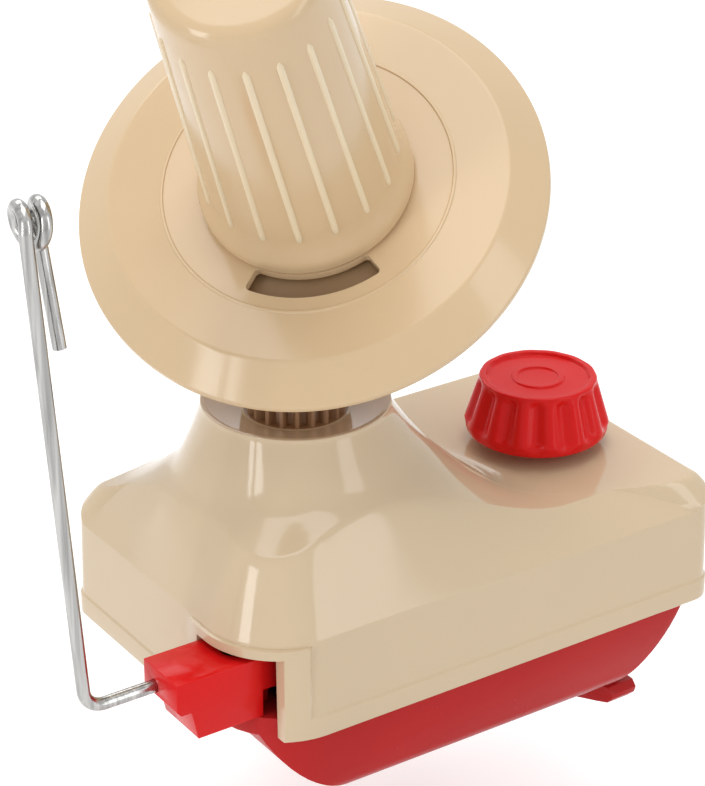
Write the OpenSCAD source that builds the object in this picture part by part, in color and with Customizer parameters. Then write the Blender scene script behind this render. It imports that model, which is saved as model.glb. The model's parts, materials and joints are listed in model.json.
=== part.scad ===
// Hand-cranked yarn ball winder that clamps to the edge of a table.
// Origin: on the winding axis, at the tub's flat underside. +Z up, +X towards the clamp knob.

/* [Case] */
// Length of the cover
case_len = 133; // [125:1:150]
// Width of the cover
case_wid = 82.4; // [78:0.2:96]
// Distance from the tower end of the cover to the winding axis
tower_x = 38.2; // [36:0.2:42]
// Corner radius of the cover in plan
corner_r = 6; // [4:0.5:9]
// Corner radius at the guide window
guide_corner_r = 20; // [16:1:22]
// Wall thickness of the cover
cover_wall = 2.4; // [1.8:0.2:3]
// Height of the cover's near wall and tower end wall
near_wall_h = 24.5; // [22:0.5:27]
// Height of the cover's far wall and clamp end wall
far_wall_h = 29.5; // [26:0.5:30.5]
// Width of the rounded shoulder above the near wall
near_shoulder = 9; // [6:0.5:11]
// Width of the rounded edge above the far wall
far_shoulder = 3; // [2:0.5:5]
// Height of the knob platform above the cover's bottom edge
platform_h = 32; // [31:0.5:35]
// Height at which the hump turns up into the neck
foot_h = 50.3; // [48:0.1:53]
// Radius of the hump where it turns up into the neck
foot_r = 28.5; // [27:0.5:29.5]
// Height of the neck above the cover's bottom edge
neck_h = 62.6; // [61:0.1:64]
// Outer radius of the neck
neck_r = 21.9; // [21:0.1:23]
// Depth of the dish in the neck's top
neck_dish = 2.2; // [1.6:0.1:2.6]
// Height of the raised band along the bottom edge
lip_h = 5.2; // [4:0.2:7]
// How far the raised band stands out
lip_step = 0.5; // [0.3:0.1:0.7]

/* [Tub] */
// Depth of the tub below the cover's bottom edge
tub_drop = 19; // [17:0.5:22]
// Wall thickness of the tub
tub_wall = 2.2; // [1.8:0.2:3]
// Gap between the tub's rim and the cover's inside
rim_gap = 0.4; // [0.3:0.1:0.6]
// Height of the tub's rim inside the cover
rim_h = 3; // [2:0.5:4]
// Length over which each end of the tub is raked
tub_rake = 31; // [24:1:34]
// Radius of the tub's long bottom edges
tub_edge_r = 3.5; // [3:0.5:8]

/* [Winding head] */
// Tilt of the spool axis
tilt = 38; // [36:0.5:40]
// Direction in which the spool leans at rest
lean_az = 220.9; // [180:0.1:260]
// Height above the cover's bottom edge where the spool axis crosses the winding axis
apex_h = 124.6; // [122:0.2:128]
// Distance from that crossing to the disc's rim plane
rim_s = 24.3; // [23:0.1:25]
// Radius of the disc
disc_r = 54; // [50:0.5:56]
// Radius of the disc's flat plate
plate_r = 45; // [42:0.5:47]
// Height of the plate above the rim
rim_drop = 7.9; // [6:0.1:9]
// Thickness of the disc
disc_t = 2.2; // [1.8:0.1:2.6]
// Foot radius of the winding cone
cone_foot_r = 24.4; // [23.8:0.2:24.6]
// Top radius of the winding cone
cone_top_r = 18.5; // [15:0.5:20]
// Height of the winding cone above the plate
cone_h = 84; // [70:1:95]
// Wall thickness of the winding cone
cone_wall = 2; // [1.6:0.2:2.6]
// Number of ribs on the cone
rib_count = 17; // [12:1:22]
// Width of each rib
rib_w = 1.3; // [1:0.1:2]
// Height of each rib
rib_h = 0.7; // [0.4:0.1:1]
// Radius of the shaft
shaft_r = 3.5; // [3:0.1:3.8]

/* [Gears] */
// Teeth on the fixed sun gear
sun_teeth = 20; // [18:1:22]
// Teeth on the spool gear
spool_teeth = 54; // [52:1:56]
// Height of the mesh above the neck
mesh_rise = 6.9; // [6.4:0.1:7.4]
// Teeth on the shaft's pinion
pinion_teeth = 12; // [12:1:14]
// Teeth on the crown gear
crown_teeth = 48; // [44:4:48]
// Module of the pinion and the crown gear
drive_module = 1; // [0.9:0.05:1.05]
// Running clearance of every bearing
run_gap = 0.05; // [0.03:0.01:0.08]

/* [Crank] */
// Height of the crank axis above the tub's underside
crank_z = 29; // [28.5:0.1:31]
// Radius of the crank shaft
crank_r = 4; // [3.5:0.1:4.5]
// Length of the crank from shaft to grip
crank_len = 62; // [50:1:70]
// Angle of the crank below the horizontal at rest
crank_rest = 45; // [30:1:60]
// Length of the grip
grip_len = 48; // [40:1:60]
// Radius of the grip
grip_r = 8.5; // [7:0.5:10]

/* [Clamp] */
// Distance from the winding axis to the clamp bolt
clamp_x = 70.1; // [68:0.1:73]
// Radius of the clamp bolt
bolt_r = 3; // [2.5:0.5:3.5]
// Bottom radius of the knob
knob_r = 17.7; // [15:0.1:18.5]
// Top radius of the knob
knob_top_r = 13.4; // [12:0.1:14.5]
// Height of the knob
knob_h = 14.5; // [12:0.5:18]
// Number of flutes round the knob
flute_count = 14; // [10:1:18]
// Width of the jaw
jaw_w = 16.6; // [15:0.2:17.4]
// Reach of the jaw from the bolt to its nose
jaw_reach = 33; // [28:0.5:34]
// Thickness of the jaw at its nose
jaw_nose_t = 4.8; // [4:0.2:6]
// Travel of the jaw
jaw_travel = 16; // [12:1:17]

/* [Yarn guide] */
// Radius of the wire
wire_r = 1.5; // [1.2:0.1:1.6]
// Width of the guide block
block_w = 14.4; // [12:0.2:15]
// Length of the block outside the case
block_out = 13.9; // [12:0.1:18]
// Distance from the block to the wire's bend
stub_len = 17.6; // [14:0.1:22]
// Height of the wire's stem
stem_h = 114; // [100:1:125]
// Lean of the stem away from the case
stem_lean = 4.2; // [2:0.1:7]
// Mean radius of the wire's eye
eye_r = 4.25; // [3.8:0.05:5]
// Advance of the eye in one turn
eye_pitch = 4.4; // [4:0.1:5]
// Length of the wire's free tail
tail_len = 29; // [20:1:35]

/* [Hidden] */
$fn = 48;

beige = "#d0ba98";
cream = "#e2d6bc";
red = "#c81e1e";
brown = "#6e4a2c";
steel = "#b9bbbd";
dark = "#3a3634";

cut = 0.5;
seat_gap = 0.3;

// Case in plan
x_tower = -tower_x;
x_clamp = case_len - tower_x;
y_side = case_wid / 2;
cover_z = tub_drop;
platform_z = cover_z + platform_h;
neck_z = cover_z + neck_h;
arc_steps = 4;
guide_arc_steps = 8;
end_steps = 7;
side_steps = 12;

function clamp01(t) = max(0, min(1, t));
function lerp(a, b, t) = a + (b - a) * t;

function corner_arc(c, r, a0, steps) =
    [for (i = [0 : steps]) [c[0] + r * cos(a0 + 90 * i / steps), c[1] + r * sin(a0 + 90 * i / steps),
        a0 + 90 * i / steps]];
function edge_run(p, q, steps, a) =
    [for (i = [1 : steps - 1]) [lerp(p[0], q[0], i / steps), lerp(p[1], q[1], i / steps), a]];

// Outline of the case drawn in by d: points with their outward direction
function plan(d) =
    let (r = max(corner_r - d, 1.2), rg = max(guide_corner_r - d, 2), x0 = x_tower + d, x1 = x_clamp - d,
        y = y_side - d,
        a = corner_arc([x1 - r, -y + r], r, 270, arc_steps),
        b = corner_arc([x1 - r, y - r], r, 0, arc_steps),
        c = corner_arc([x0 + r, y - r], r, 90, arc_steps),
        e = corner_arc([x0 + rg, -y + rg], rg, 180, guide_arc_steps))
    concat(a, edge_run(a[arc_steps], b[0], end_steps, 0), b, edge_run(b[arc_steps], c[0], side_steps, 90), c,
        edge_run(c[arc_steps], e[0], end_steps, 180), e, edge_run(e[guide_arc_steps], a[0], side_steps, 270));

function plan_2d(d) = [for (p = plan(d)) [p[0], p[1]]];

// Share of the far side in a wall that faces direction a: 0 at the near and tower sides, 1 at the others
function far_share(a) = clamp01((cos(a - 45) / cos(45) + 1) / 2);

// Bell curve of the direction a about the direction c, w wide
function turned(a) = a > 180 ? a - 360 : a < -180 ? a + 360 : a;
function bell(a, c, w) = exp(-pow(turned(a - c) / w, 2));

// Distance over which the hump falls away from the neck, in direction a: short towards the clamp and the crank
hill_reach = 45.2;
function reach(a) = hill_reach - 18.7 * bell(a, 9.4, 41.4) - 24.2 * bell(a, 93, 63.8);

// Height of the neck's foot in direction a: a little lower at the back
function foot_height(a) = foot_h + 1.86 * bell(a, -30, 44) - 5.5 * bell(a, 146, 75);

// Height of the cover's surface at p on the spoke from the wall point w, with the whole skin drawn in by d
function hump_z(p, w, d) =
    let (far = far_share(w[2]), wall_top = lerp(near_wall_h, far_wall_h, far),
        inward = (w[0] - p[0]) * cos(w[2]) + (w[1] - p[1]) * sin(w[2]),
        span = norm([w[0], w[1]]) - (foot_r - d),
        width = min(lerp(near_shoulder, far_shoulder, far), 0.85 * span),
        a = atan2(p[1], p[0]),
        fall = max(0, 1 - (norm(p) - foot_r + d) / reach(a)),
        lift = platform_h - wall_top + (foot_height(a) - platform_h) * fall * fall)
    cover_z + wall_top - d + sin(90 * clamp01(inward / width)) * lift;

// Ring of the hump at the share u of the way from the wall to the neck's foot
function hump_ring(u, d, in) =
    [for (w = plan(in)) let (a = atan2(w[1], w[0]), far_r = norm([w[0], w[1]]),
        r = lerp(far_r, foot_r - d, u), p = [r * cos(a), r * sin(a)]) [p[0], p[1], hump_z(p, w, d)]];
function wall_ring(in, z) = [for (w = plan(in)) [w[0], w[1], z]];
function wall_top_ring(in, d) =
    [for (w = plan(in)) [w[0], w[1], cover_z + lerp(near_wall_h, far_wall_h, far_share(w[2])) - d]];
function round_ring(r, z, in) =
    [for (w = plan(in)) let (a = atan2(w[1], w[0])) [r * cos(a), r * sin(a), z]];
// Flare of the neck at the share t of the way from its edge down to its foot
function flare_ring(t, d, in) =
    [for (w = plan(in)) let (a = atan2(w[1], w[0]), r = neck_r - d + (foot_r - neck_r) * pow(t, 1.25))
        [r * cos(a), r * sin(a), cover_z - d + lerp(neck_h - neck_round, foot_height(a), t)]];

neck_round = 0.8;
core_r = 9;
draft = 0.4;
outer_in = lip_step + draft;
inner_in = cover_wall + 0.1;
outer_steps = [0.9, 0.8, 0.68, 0.56, 0.44, 0.32, 0.22, 0.14, 0.08, 0.035];
inner_steps = [0.06, 0.16, 0.35, 0.6, 0.85];

function cover_rings() = concat(
    [round_ring(core_r, neck_z - neck_dish, outer_in),
        round_ring(sun_collar_r + 0.8, neck_z - neck_dish, outer_in),
        round_ring(neck_r - 1.9, neck_z - 0.25, outer_in), round_ring(neck_r - 1.2, neck_z, outer_in),
        round_ring(neck_r - 0.35, neck_z - 0.25, outer_in)],
    [for (t = [0, 0.12, 0.3, 0.52, 0.76]) flare_ring(t, 0, outer_in)],
    [hump_ring(1, 0, outer_in)],
    [for (u = outer_steps) hump_ring(u, 0, outer_in)],
    [wall_top_ring(outer_in, 0), wall_ring(lip_step, cover_z + lip_h + lip_step),
        wall_ring(0, cover_z + lip_h), wall_ring(0, cover_z + lip_step), wall_ring(lip_step, cover_z)],
    [wall_ring(inner_in, cover_z), wall_top_ring(inner_in + draft, cover_wall)],
    [for (u = inner_steps) hump_ring(u, cover_wall, inner_in + draft)],
    [hump_ring(1, cover_wall, inner_in + draft)],
    [for (t = [0.7, 0.35, 0]) flare_ring(t, cover_wall, inner_in + draft)],
    [round_ring(sun_flange_r + 0.6, plate_under, inner_in), round_ring(core_r, plate_under, inner_in)]);

// Skin through closed rings of equal length, the last joined to the first
module ring_skin(rings) {
    n = len(rings[0]);
    m = len(rings);
    points = [for (ring = rings) for (p = ring) p];
    faces = [for (i = [0 : m - 1]) for (j = [0 : n - 1])
        let (a = i * n + j, b = i * n + (j + 1) % n, c = ((i + 1) % m) * n + (j + 1) % n,
            e = ((i + 1) % m) * n + j)
        each [[a, b, c], [a, c, e]]];
    polyhedron(points = points, faces = faces);
}

// Guide block and its window
pivot_x = x_tower + 6;
pivot_y = -25.4;
block_z0 = cover_z + 4.8;
block_z1 = cover_z + 20;
block_in = 6.6;
window_top = block_z1 + 1.4;
window_y1 = pivot_y + block_w / 2 + 0.3;
window_x1 = x_tower + 10;
frame_w = 5.8;
frame_top = 2.4;
shelf_z = block_z0 - 0.15;

// Case screws beside the walls
boss_y = y_side - inner_in - 8.7;
screw_places = [[10, -boss_y], [54, -boss_y], [54, boss_y], [22, boss_y]];
screw_r = 1.6;
boss_r = 4;
rim_z = cover_z + rim_h;
cover_boss_top = cover_z + near_wall_h - cover_wall - 3;

// Fixed parts in the neck
sun_flange_r = 16;

// Clamp column
bolt_hole_r = bolt_r + 0.4;
washer_r = 8;
washer_t = 1.2;

// Far wall bearing
bush_r = crank_r + 3;
bush_flange_r = crank_r + 4.4;
bush_flange_t = 1.6;
crank_boss_r = bush_flange_r + 1.2;
crank_face = y_side + 0.6;

module top_cover() {
    color(beige) {
        difference() {
            union() {
                ring_skin(cover_rings());
                for (p = screw_places) {
                    translate([p[0], p[1], rim_z + 0.2])
                        cylinder(h = cover_boss_top - rim_z, r = boss_r + 1);
                    // Web between the boss and the wall
                    translate([p[0] - 1.2, p[1] > 0 ? p[1] : -y_side + inner_in - 0.8, rim_z + 0.2])
                        cube([2.4, y_side - inner_in + 0.8 - boss_y, cover_boss_top - rim_z - 1]);
                }
                // Boss round the crank's bush
                translate([0, y_side - inner_in + 0.5, crank_z])
                    rotate([-90, 0, 0])
                        cylinder(h = crank_face - y_side + inner_in - 0.5, r = crank_boss_r);
                window_frame();
            }
            translate([0, 0, plate_under - 5])
                cylinder(h = 20, r = sun_collar_r + run_gap, $fn = 64);
            translate([clamp_x, 0, platform_z - 10])
                cylinder(h = 20, r = bolt_hole_r);
            translate([0, y_side - 10, crank_z])
                rotate([-90, 0, 0])
                    cylinder(h = 20, r = bush_r + run_gap);
            translate([x_tower - 5, -y_side - 5, cover_z - 1])
                cube([window_x1 - x_tower + 5, window_y1 + y_side + 5, window_top - cover_z + 1]);
            for (p = screw_places)
                translate([p[0], p[1], rim_z])
                    cylinder(h = cover_boss_top - rim_z - 2, r = screw_r);
        }
    }
}

// Raised band round the guide window, as proud as the one along the bottom edge
module window_frame() {
    z0 = cover_z + lip_h / 2;
    intersection() {
        difference() {
            translate([0, 0, z0])
                linear_extrude(height = window_top + frame_top - z0)
                    polygon(plan_2d(0));
            translate([0, 0, cover_z])
                linear_extrude(height = window_top)
                    polygon(plan_2d(inner_in - 0.6));
        }
        translate([x_tower - 1, -y_side - 1, cover_z])
            cube([window_x1 + frame_w - x_tower + 1, window_y1 + 3 + y_side + 1, 2 * window_top]);
    }
}

// Tub
tub_in = inner_in + rim_gap;
end_h = 34;
rake_steps = 14;
rake_start = asin(1 - tub_drop / end_h);
rim_band = 6;

// Side view of the tub, drawn in by d: a flat bottom between two raked ends
function tub_side(d) =
    let (x0 = x_tower + 3.9 + d, x1 = x_clamp - 3.9 - d, rake = tub_rake,
        arc = [for (i = [0 : rake_steps]) let (a = lerp(rake_start, 90, i / rake_steps))
            [rake * (1 - cos(a)), (end_h - d) * (1 - sin(a)) + d]])
    concat([for (q = arc) [x0 + q[0], q[1]]],
        [for (i = [0 : rake_steps]) let (q = arc[rake_steps - i]) [x1 - q[0], q[1]]],
        [[x1 - arc[0][0], rim_z + cut], [x0 + arc[0][0], rim_z + cut]]);

module tub_form(d) {
    intersection() {
        translate([0, y_side, 0])
            rotate([90, 0, 0])
                linear_extrude(height = 2 * y_side)
                    polygon(tub_side(d));
        linear_extrude(height = rim_z)
            polygon(plan_2d(tub_in + d));
        translate([x_tower, 0, 0])
            rotate([90, 0, 90])
                linear_extrude(height = case_len)
                    tub_section(y_side - tub_in - d, d);
    }
}

// End view of the tub: half width w, rounded bottom edges
module tub_section(w, d) {
    r = max(tub_edge_r - d, 1);
    translate([-w, d + r])
        square([2 * w, rim_z + cut - r - d]);
    translate([-w + r, d])
        square([2 * (w - r), r + 1]);
    for (side = [-1, 1])
        translate([side * (w - r), d + r])
            circle(r = r);
}

// Guide post of the jaw
post_y0 = 8;
post_t = 7.4;
post_w = 12;
post_top = 30;
slide_gap = 0.3;
land_x0 = 60.5;
land_z = 0.3;
land_x1 = clamp_x + jaw_w / 2;
column_r = 7;
channel_wall = 2.4;
channel_z = 20;

module tub_cuts() {
    translate([clamp_x, 0, -1])
        cylinder(h = platform_z, r = bolt_hole_r);
    translate([clamp_x - post_w / 2 - slide_gap, post_y0 - slide_gap, -1])
        cube([post_w + 2 * slide_gap, post_t + 2 * slide_gap, platform_z]);
    for (p = screw_places) {
        translate([p[0], p[1], -1])
            cylinder(h = rim_z + 2, r = screw_r + 0.2);
        translate([p[0], p[1], -1])
            cylinder(h = 5, r = screw_r + 2);
    }
    translate([0, 0, floor_z])
        cylinder(h = 20, r = floor_bush_r + run_gap);
    translate([0, bearing_y0 - 1, crank_z])
        rotate([-90, 0, 0])
            cylinder(h = bearing_len + 2, r = crank_r + run_gap);
    translate([pivot_x, pivot_y, cover_z + 0.4])
        cylinder(h = 20, r = guide_screw_r);
    // Room for the crown gear above the floor
    translate([0, crown_tip - 0.3, crank_z])
        rotate([-90, 0, 0])
            cylinder(h = crown_root - crown_tip + crown_disc_t + 0.6, r = crown_out_r + 0.6, $fn = 96);
}

bearing_y0 = 17;
bearing_len = 9;
bearing_r = crank_r + 3;
guide_screw_r = 1.8;
floor_z = 1;
floor_bush_r = shaft_r + 1.4;
floor_bush_h = 6;

module base_tub() {
    color(red)
        difference() {
            union() {
                difference() {
                    tub_form(0);
                    translate([0, 0, 0])
                        tub_form(tub_wall);
                }
                // Rim that closes the cover all round
                difference() {
                    translate([0, 0, cover_z])
                        linear_extrude(height = rim_h)
                            polygon(plan_2d(tub_in));
                    translate([0, 0, cover_z - 1])
                        linear_extrude(height = rim_h + 2)
                            polygon(plan_2d(tub_in + rim_band));
                }
                // Shelf under the guide block
                intersection() {
                    translate([0, 0, cover_z])
                        linear_extrude(height = shelf_z - cover_z)
                            polygon(plan_2d(tub_in));
                    translate([x_tower, -y_side, 0])
                        cube([pivot_x + block_in + 3 - x_tower, window_y1 - 0.6 + y_side, 2 * cover_z]);
                }
                // Land above the jaw, a little clear of the table top
                translate([land_x0, -jaw_reach - 0.2, land_z])
                    cube([land_x1 - land_x0, jaw_reach + post_y0 + post_t + 4, 10 - land_z]);
                translate([clamp_x, 0, 1])
                    cylinder(h = platform_z - cover_wall - 1.2, r = column_r);
                translate([clamp_x - post_w / 2 - channel_wall, post_y0 - channel_wall, 1])
                    cube([post_w + 2 * channel_wall, post_t + 2 * channel_wall, channel_z - 1]);
                for (p = screw_places)
                    translate([p[0], p[1], 0])
                        cylinder(h = rim_z, r = boss_r);
                translate([0, 0, 0])
                    cylinder(h = floor_z + floor_bush_h, r = floor_bush_r + 2);
                // Inner bearing of the crank shaft on its pillar
                translate([0, bearing_y0, crank_z])
                    rotate([-90, 0, 0])
                        cylinder(h = bearing_len, r = bearing_r);
                translate([-bearing_r, bearing_y0, 1])
                    cube([2 * bearing_r, bearing_len, crank_z - 1]);
            }
            tub_cuts();
        }
}

// Bevel pair: both pitch cones share the apex where the axes cross
apex_z = cover_z + apex_h;
gear_ratio = spool_teeth / sun_teeth;
sun_cone = atan(sin(tilt) / (gear_ratio + cos(tilt)));
spool_cone = tilt - sun_cone;
mesh_z = neck_z + mesh_rise;
mesh_depth = apex_z - mesh_z;
sun_pitch = mesh_depth * tan(sun_cone);
spool_pitch = sun_pitch * gear_ratio;
spool_s = spool_pitch / tan(spool_cone);
bevel_module = 2 * sun_pitch / sun_teeth;
tooth_share = 0.40;
flank = 0.24;

// Outline of a gear with straight-flanked teeth: r is the pitch radius, m the module
function gear_outline(teeth, r, m, share) =
    let (pitch = 360 / teeth, root = r - 1.2 * m, tip = r + 0.9 * m, half = pitch * share / 2,
        lean = flank * m / r * 57.3)
    [for (i = [0 : teeth - 1]) let (a = i * pitch)
        each [[root, a - half - lean * 1.2], [tip, a - half + lean * 0.9 + 0.3],
            [tip, a + half - lean * 0.9 - 0.3], [root, a + half + lean * 1.2]]];
function polar_2d(points) = [for (p = points) [p[0] * cos(p[1]), p[0] * sin(p[1])]];

module bevel_teeth(teeth, r, m, s, s0, s1) {
    // Teeth between the distances s0 and s1 from the apex, along the gear's own axis; r and m hold at s
    translate([0, 0, -s1])
        linear_extrude(height = s1 - s0, scale = s0 / s1)
            scale(s1 / s)
                polygon(polar_2d(gear_outline(teeth, r, m, tooth_share)));
}

sun_top = neck_z + mesh_rise + 2.3;
sun_teeth_z = mesh_z - 5.2;
sun_skirt_s = apex_z - sun_teeth_z;
sun_collar_r = sun_pitch * (1 + 1.8 / sun_teeth) * sun_skirt_s / mesh_depth + 0.4;
sun_flange_t = 2.4;
plate_under = neck_z - neck_dish - cover_wall;
sleeve_r = shaft_r + 3;
sleeve_len = 14;

module sun_gear() {
    color(brown)
        difference() {
            union() {
                translate([0, 0, apex_z])
                    rotate([0, 0, lean_az - 180])
                        bevel_teeth(sun_teeth, sun_pitch, bevel_module, mesh_depth, apex_z - sun_top,
                            apex_z - sun_teeth_z);
                // Straight part of the teeth, down to the dish in the neck
                translate([0, 0, neck_z - neck_dish - 0.2])
                    rotate([0, 0, lean_az - 180])
                        linear_extrude(height = sun_teeth_z - neck_z + neck_dish + 0.3)
                            scale(sun_skirt_s / mesh_depth)
                                polygon(polar_2d(gear_outline(sun_teeth, sun_pitch, bevel_module,
                                    tooth_share)));
                translate([0, 0, plate_under - 1])
                    cylinder(h = cover_wall + 0.9, r = sun_collar_r, $fn = 64);
                translate([0, 0, plate_under - sun_flange_t])
                    cylinder(h = sun_flange_t, r = sun_flange_r, $fn = 64);
                translate([0, 0, plate_under - sleeve_len])
                    cylinder(h = sleeve_len, r = sleeve_r);
            }
            translate([0, 0, plate_under - sleeve_len - 1])
                cylinder(h = sleeve_len + 30, r = shaft_r + run_gap);
        }
}

module floor_bush() {
    color(cream)
        translate([0, 0, floor_z])
            difference() {
                cylinder(h = floor_bush_h, r = floor_bush_r);
                translate([0, 0, 1])
                    cylinder(h = floor_bush_h, r = shaft_r + run_gap);
            }
}

module crank_bush() {
    color(cream)
        translate([0, crank_face - 8.2, crank_z])
            rotate([-90, 0, 0])
                difference() {
                    union() {
                        cylinder(h = 8.2, r = bush_r);
                        translate([0, 0, 8.2])
                            cylinder(h = bush_flange_t, r = bush_flange_r);
                    }
                    translate([0, 0, -1])
                        cylinder(h = 12, r = crank_r + run_gap);
                }
}

module case_screws() {
    color(steel)
        for (p = screw_places)
            translate([p[0], p[1], 1.2]) {
                difference() {
                    cylinder(h = 2.8, r = screw_r + 1.6);
                    translate([-0.4, -2, -1])
                        cube([0.8, 4, 1.9]);
                    translate([-2, -0.4, -1])
                        cube([4, 0.8, 1.9]);
                }
                cylinder(h = rim_z + 10, r = screw_r);
            }
}

module clamp_washer() {
    color(steel)
        translate([clamp_x, 0, platform_z])
            difference() {
                cylinder(h = washer_t, r = washer_r);
                translate([0, 0, -1])
                    cylinder(h = washer_t + 2, r = bolt_hole_r);
            }
}

module guide_screw() {
    color(steel)
        translate([pivot_x, pivot_y, 0]) {
            translate([0, 0, cover_z + 0.4])
                cylinder(h = block_z1 - 3.6 - cover_z, r = guide_screw_r);
            difference() {
                translate([0, 0, block_z1 - 3.6])
                    cylinder(h = 2.4, r = guide_screw_r + 1.9);
                translate([-0.5, -5, block_z1 - 2.2])
                    cube([1, 10, 3]);
            }
        }
}

// Main shaft and rotor
slab_top_s = 33;
slab_bottom_s = 40;
rotor_floor = sun_top + 0.5;
boss_top = apex_z - slab_top_s / cos(tilt) + 1;
pinion_z = crank_z + crown_teeth * drive_module / 2;
pinion_face = 4;
tube_r = 8;
arm_ring_r = 12.5;
rotor_boss_r = 9;
rotor_head_r = 6.5;
gear_hub_r = 11;

module main_shaft() {
    color(steel) {
        translate([0, 0, floor_z + 1.2])
            cylinder(h = boss_top - floor_z - 1.2, r = shaft_r);
        // Collar that keeps the shaft up against the sleeve
        translate([0, 0, plate_under - sleeve_len - 2.7])
            cylinder(h = 2.5, r = shaft_r + 2);
    }
}

module drive_pinion() {
    r = pinion_teeth * drive_module / 2;
    color(cream)
        difference() {
            union() {
                translate([0, 0, pinion_z - pinion_face / 2])
                    linear_extrude(height = pinion_face)
                        polygon(polar_2d(gear_outline(pinion_teeth, r, drive_module, tooth_share)));
                translate([0, 0, pinion_z - pinion_face / 2 - 5])
                    cylinder(h = 5, r = r - 1.3 * drive_module + 0.4);
            }
            translate([0, 0, pinion_z - 20])
                cylinder(h = 40, r = shaft_r);
        }
}

// Places its children on the spool axis, at the distance s below the apex
module on_spool_axis(s) {
    translate([0, 0, apex_z])
        rotate([0, tilt, lean_az])
            translate([0, 0, -s])
                children();
}

// Distance along the slab from the spool axis to the winding axis
slab_mid_s = (slab_top_s + slab_bottom_s) / 2;
slab_run = slab_mid_s * tan(tilt);

module rotor_arm() {
    color(red)
        difference() {
            union() {
                on_spool_axis(slab_bottom_s)
                    linear_extrude(height = slab_bottom_s - slab_top_s) {
                        circle(r = arm_ring_r);
                        translate([0, -rotor_boss_r])
                            square([slab_run, 2 * rotor_boss_r]);
                        translate([slab_run, 0])
                            circle(r = rotor_boss_r);
                    }
                translate([0, 0, rotor_floor])
                    cylinder(h = boss_top - rotor_floor - 0.5, r = rotor_boss_r);
            }
            translate([-60, -60, rotor_floor - 60])
                cube([120, 120, 60]);
            translate([0, 0, rotor_floor - 1])
                cylinder(h = 60, r = shaft_r);
            // Flat seat for the screw
            translate([0, 0, boss_top])
                cylinder(h = 20, r = rotor_head_r + 0.6);
            on_spool_axis(slab_bottom_s + 1)
                cylinder(h = slab_bottom_s - slab_top_s + 2, r = tube_r + run_gap);
        }
}

module rotor_screw() {
    color(steel)
        translate([0, 0, boss_top])
            difference() {
                union() {
                    cylinder(h = 1, r = rotor_head_r);
                    translate([0, 0, 1])
                        cylinder(h = 2.6, r = 4);
                }
                translate([-0.6, -5, 2.4])
                    cube([1.2, 10, 3]);
            }
}

// Spool, in its own frame: zero at the rim plane, +Z along the cone
module spool_frame() {
    on_spool_axis(rim_s)
        children();
}

spigot_r = 20.8;
slot_r0 = 24.1;
slot_r1 = 29.8;
slot_az = 15.4;
slot_angle = 62;
slot_count = 2;
boss_count = 3;
hub_step = rim_drop - disc_t - 1.5;

// Sector of a ring between two radii, centred on the direction a
module ring_sector(r0, r1, a, span) {
    steps = 10;
    rotate(a)
        polygon(concat(
            [for (i = [0 : steps]) let (b = -span / 2 + span * i / steps) [r1 * cos(b), r1 * sin(b)]],
            [for (i = [0 : steps]) let (b = span / 2 - span * i / steps) [r0 * cos(b), r0 * sin(b)]]));
}

module flange_disc() {
    top = rim_drop;
    under = rim_drop - disc_t;
    color(beige)
        spool_frame()
            difference() {
                rotate_extrude($fn = 120)
                    polygon([[spigot_r + run_gap, under], [plate_r - 1, under], [disc_r - 1.4, 0.2],
                        [disc_r - 1.1, 0], [disc_r - 0.3, 0], [disc_r, 0.4], [disc_r, 1.4],
                        [disc_r - 0.4, 1.9], [plate_r + 0.4, top - 0.2], [plate_r, top],
                        [33.7, top], [33.5, top + 0.25], [33.1, top + 0.25], [32.9, top],
                        [spigot_r + run_gap, top]]);
                for (i = [0 : slot_count - 1])
                    translate([0, 0, under - 1])
                        linear_extrude(height = disc_t + 2)
                            ring_sector(slot_r0, slot_r1, slot_az + 360 * i / slot_count, slot_angle);
            }
}

cone_round = 4;
foot_band = 10;
foot_bulge = 2.1;
rib_turn = 3;
cone_slope = atan((cone_foot_r - foot_bulge - cone_top_r) / (cone_h - foot_band));
cone_boss_r = 4.6;
cone_boss_place = spigot_r - 1.2 - cone_boss_r;

// Radius of the cone's skin at the height z above the plate
function cone_radius(z) = cone_foot_r - foot_bulge - (z - foot_band) * tan(cone_slope);

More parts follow.
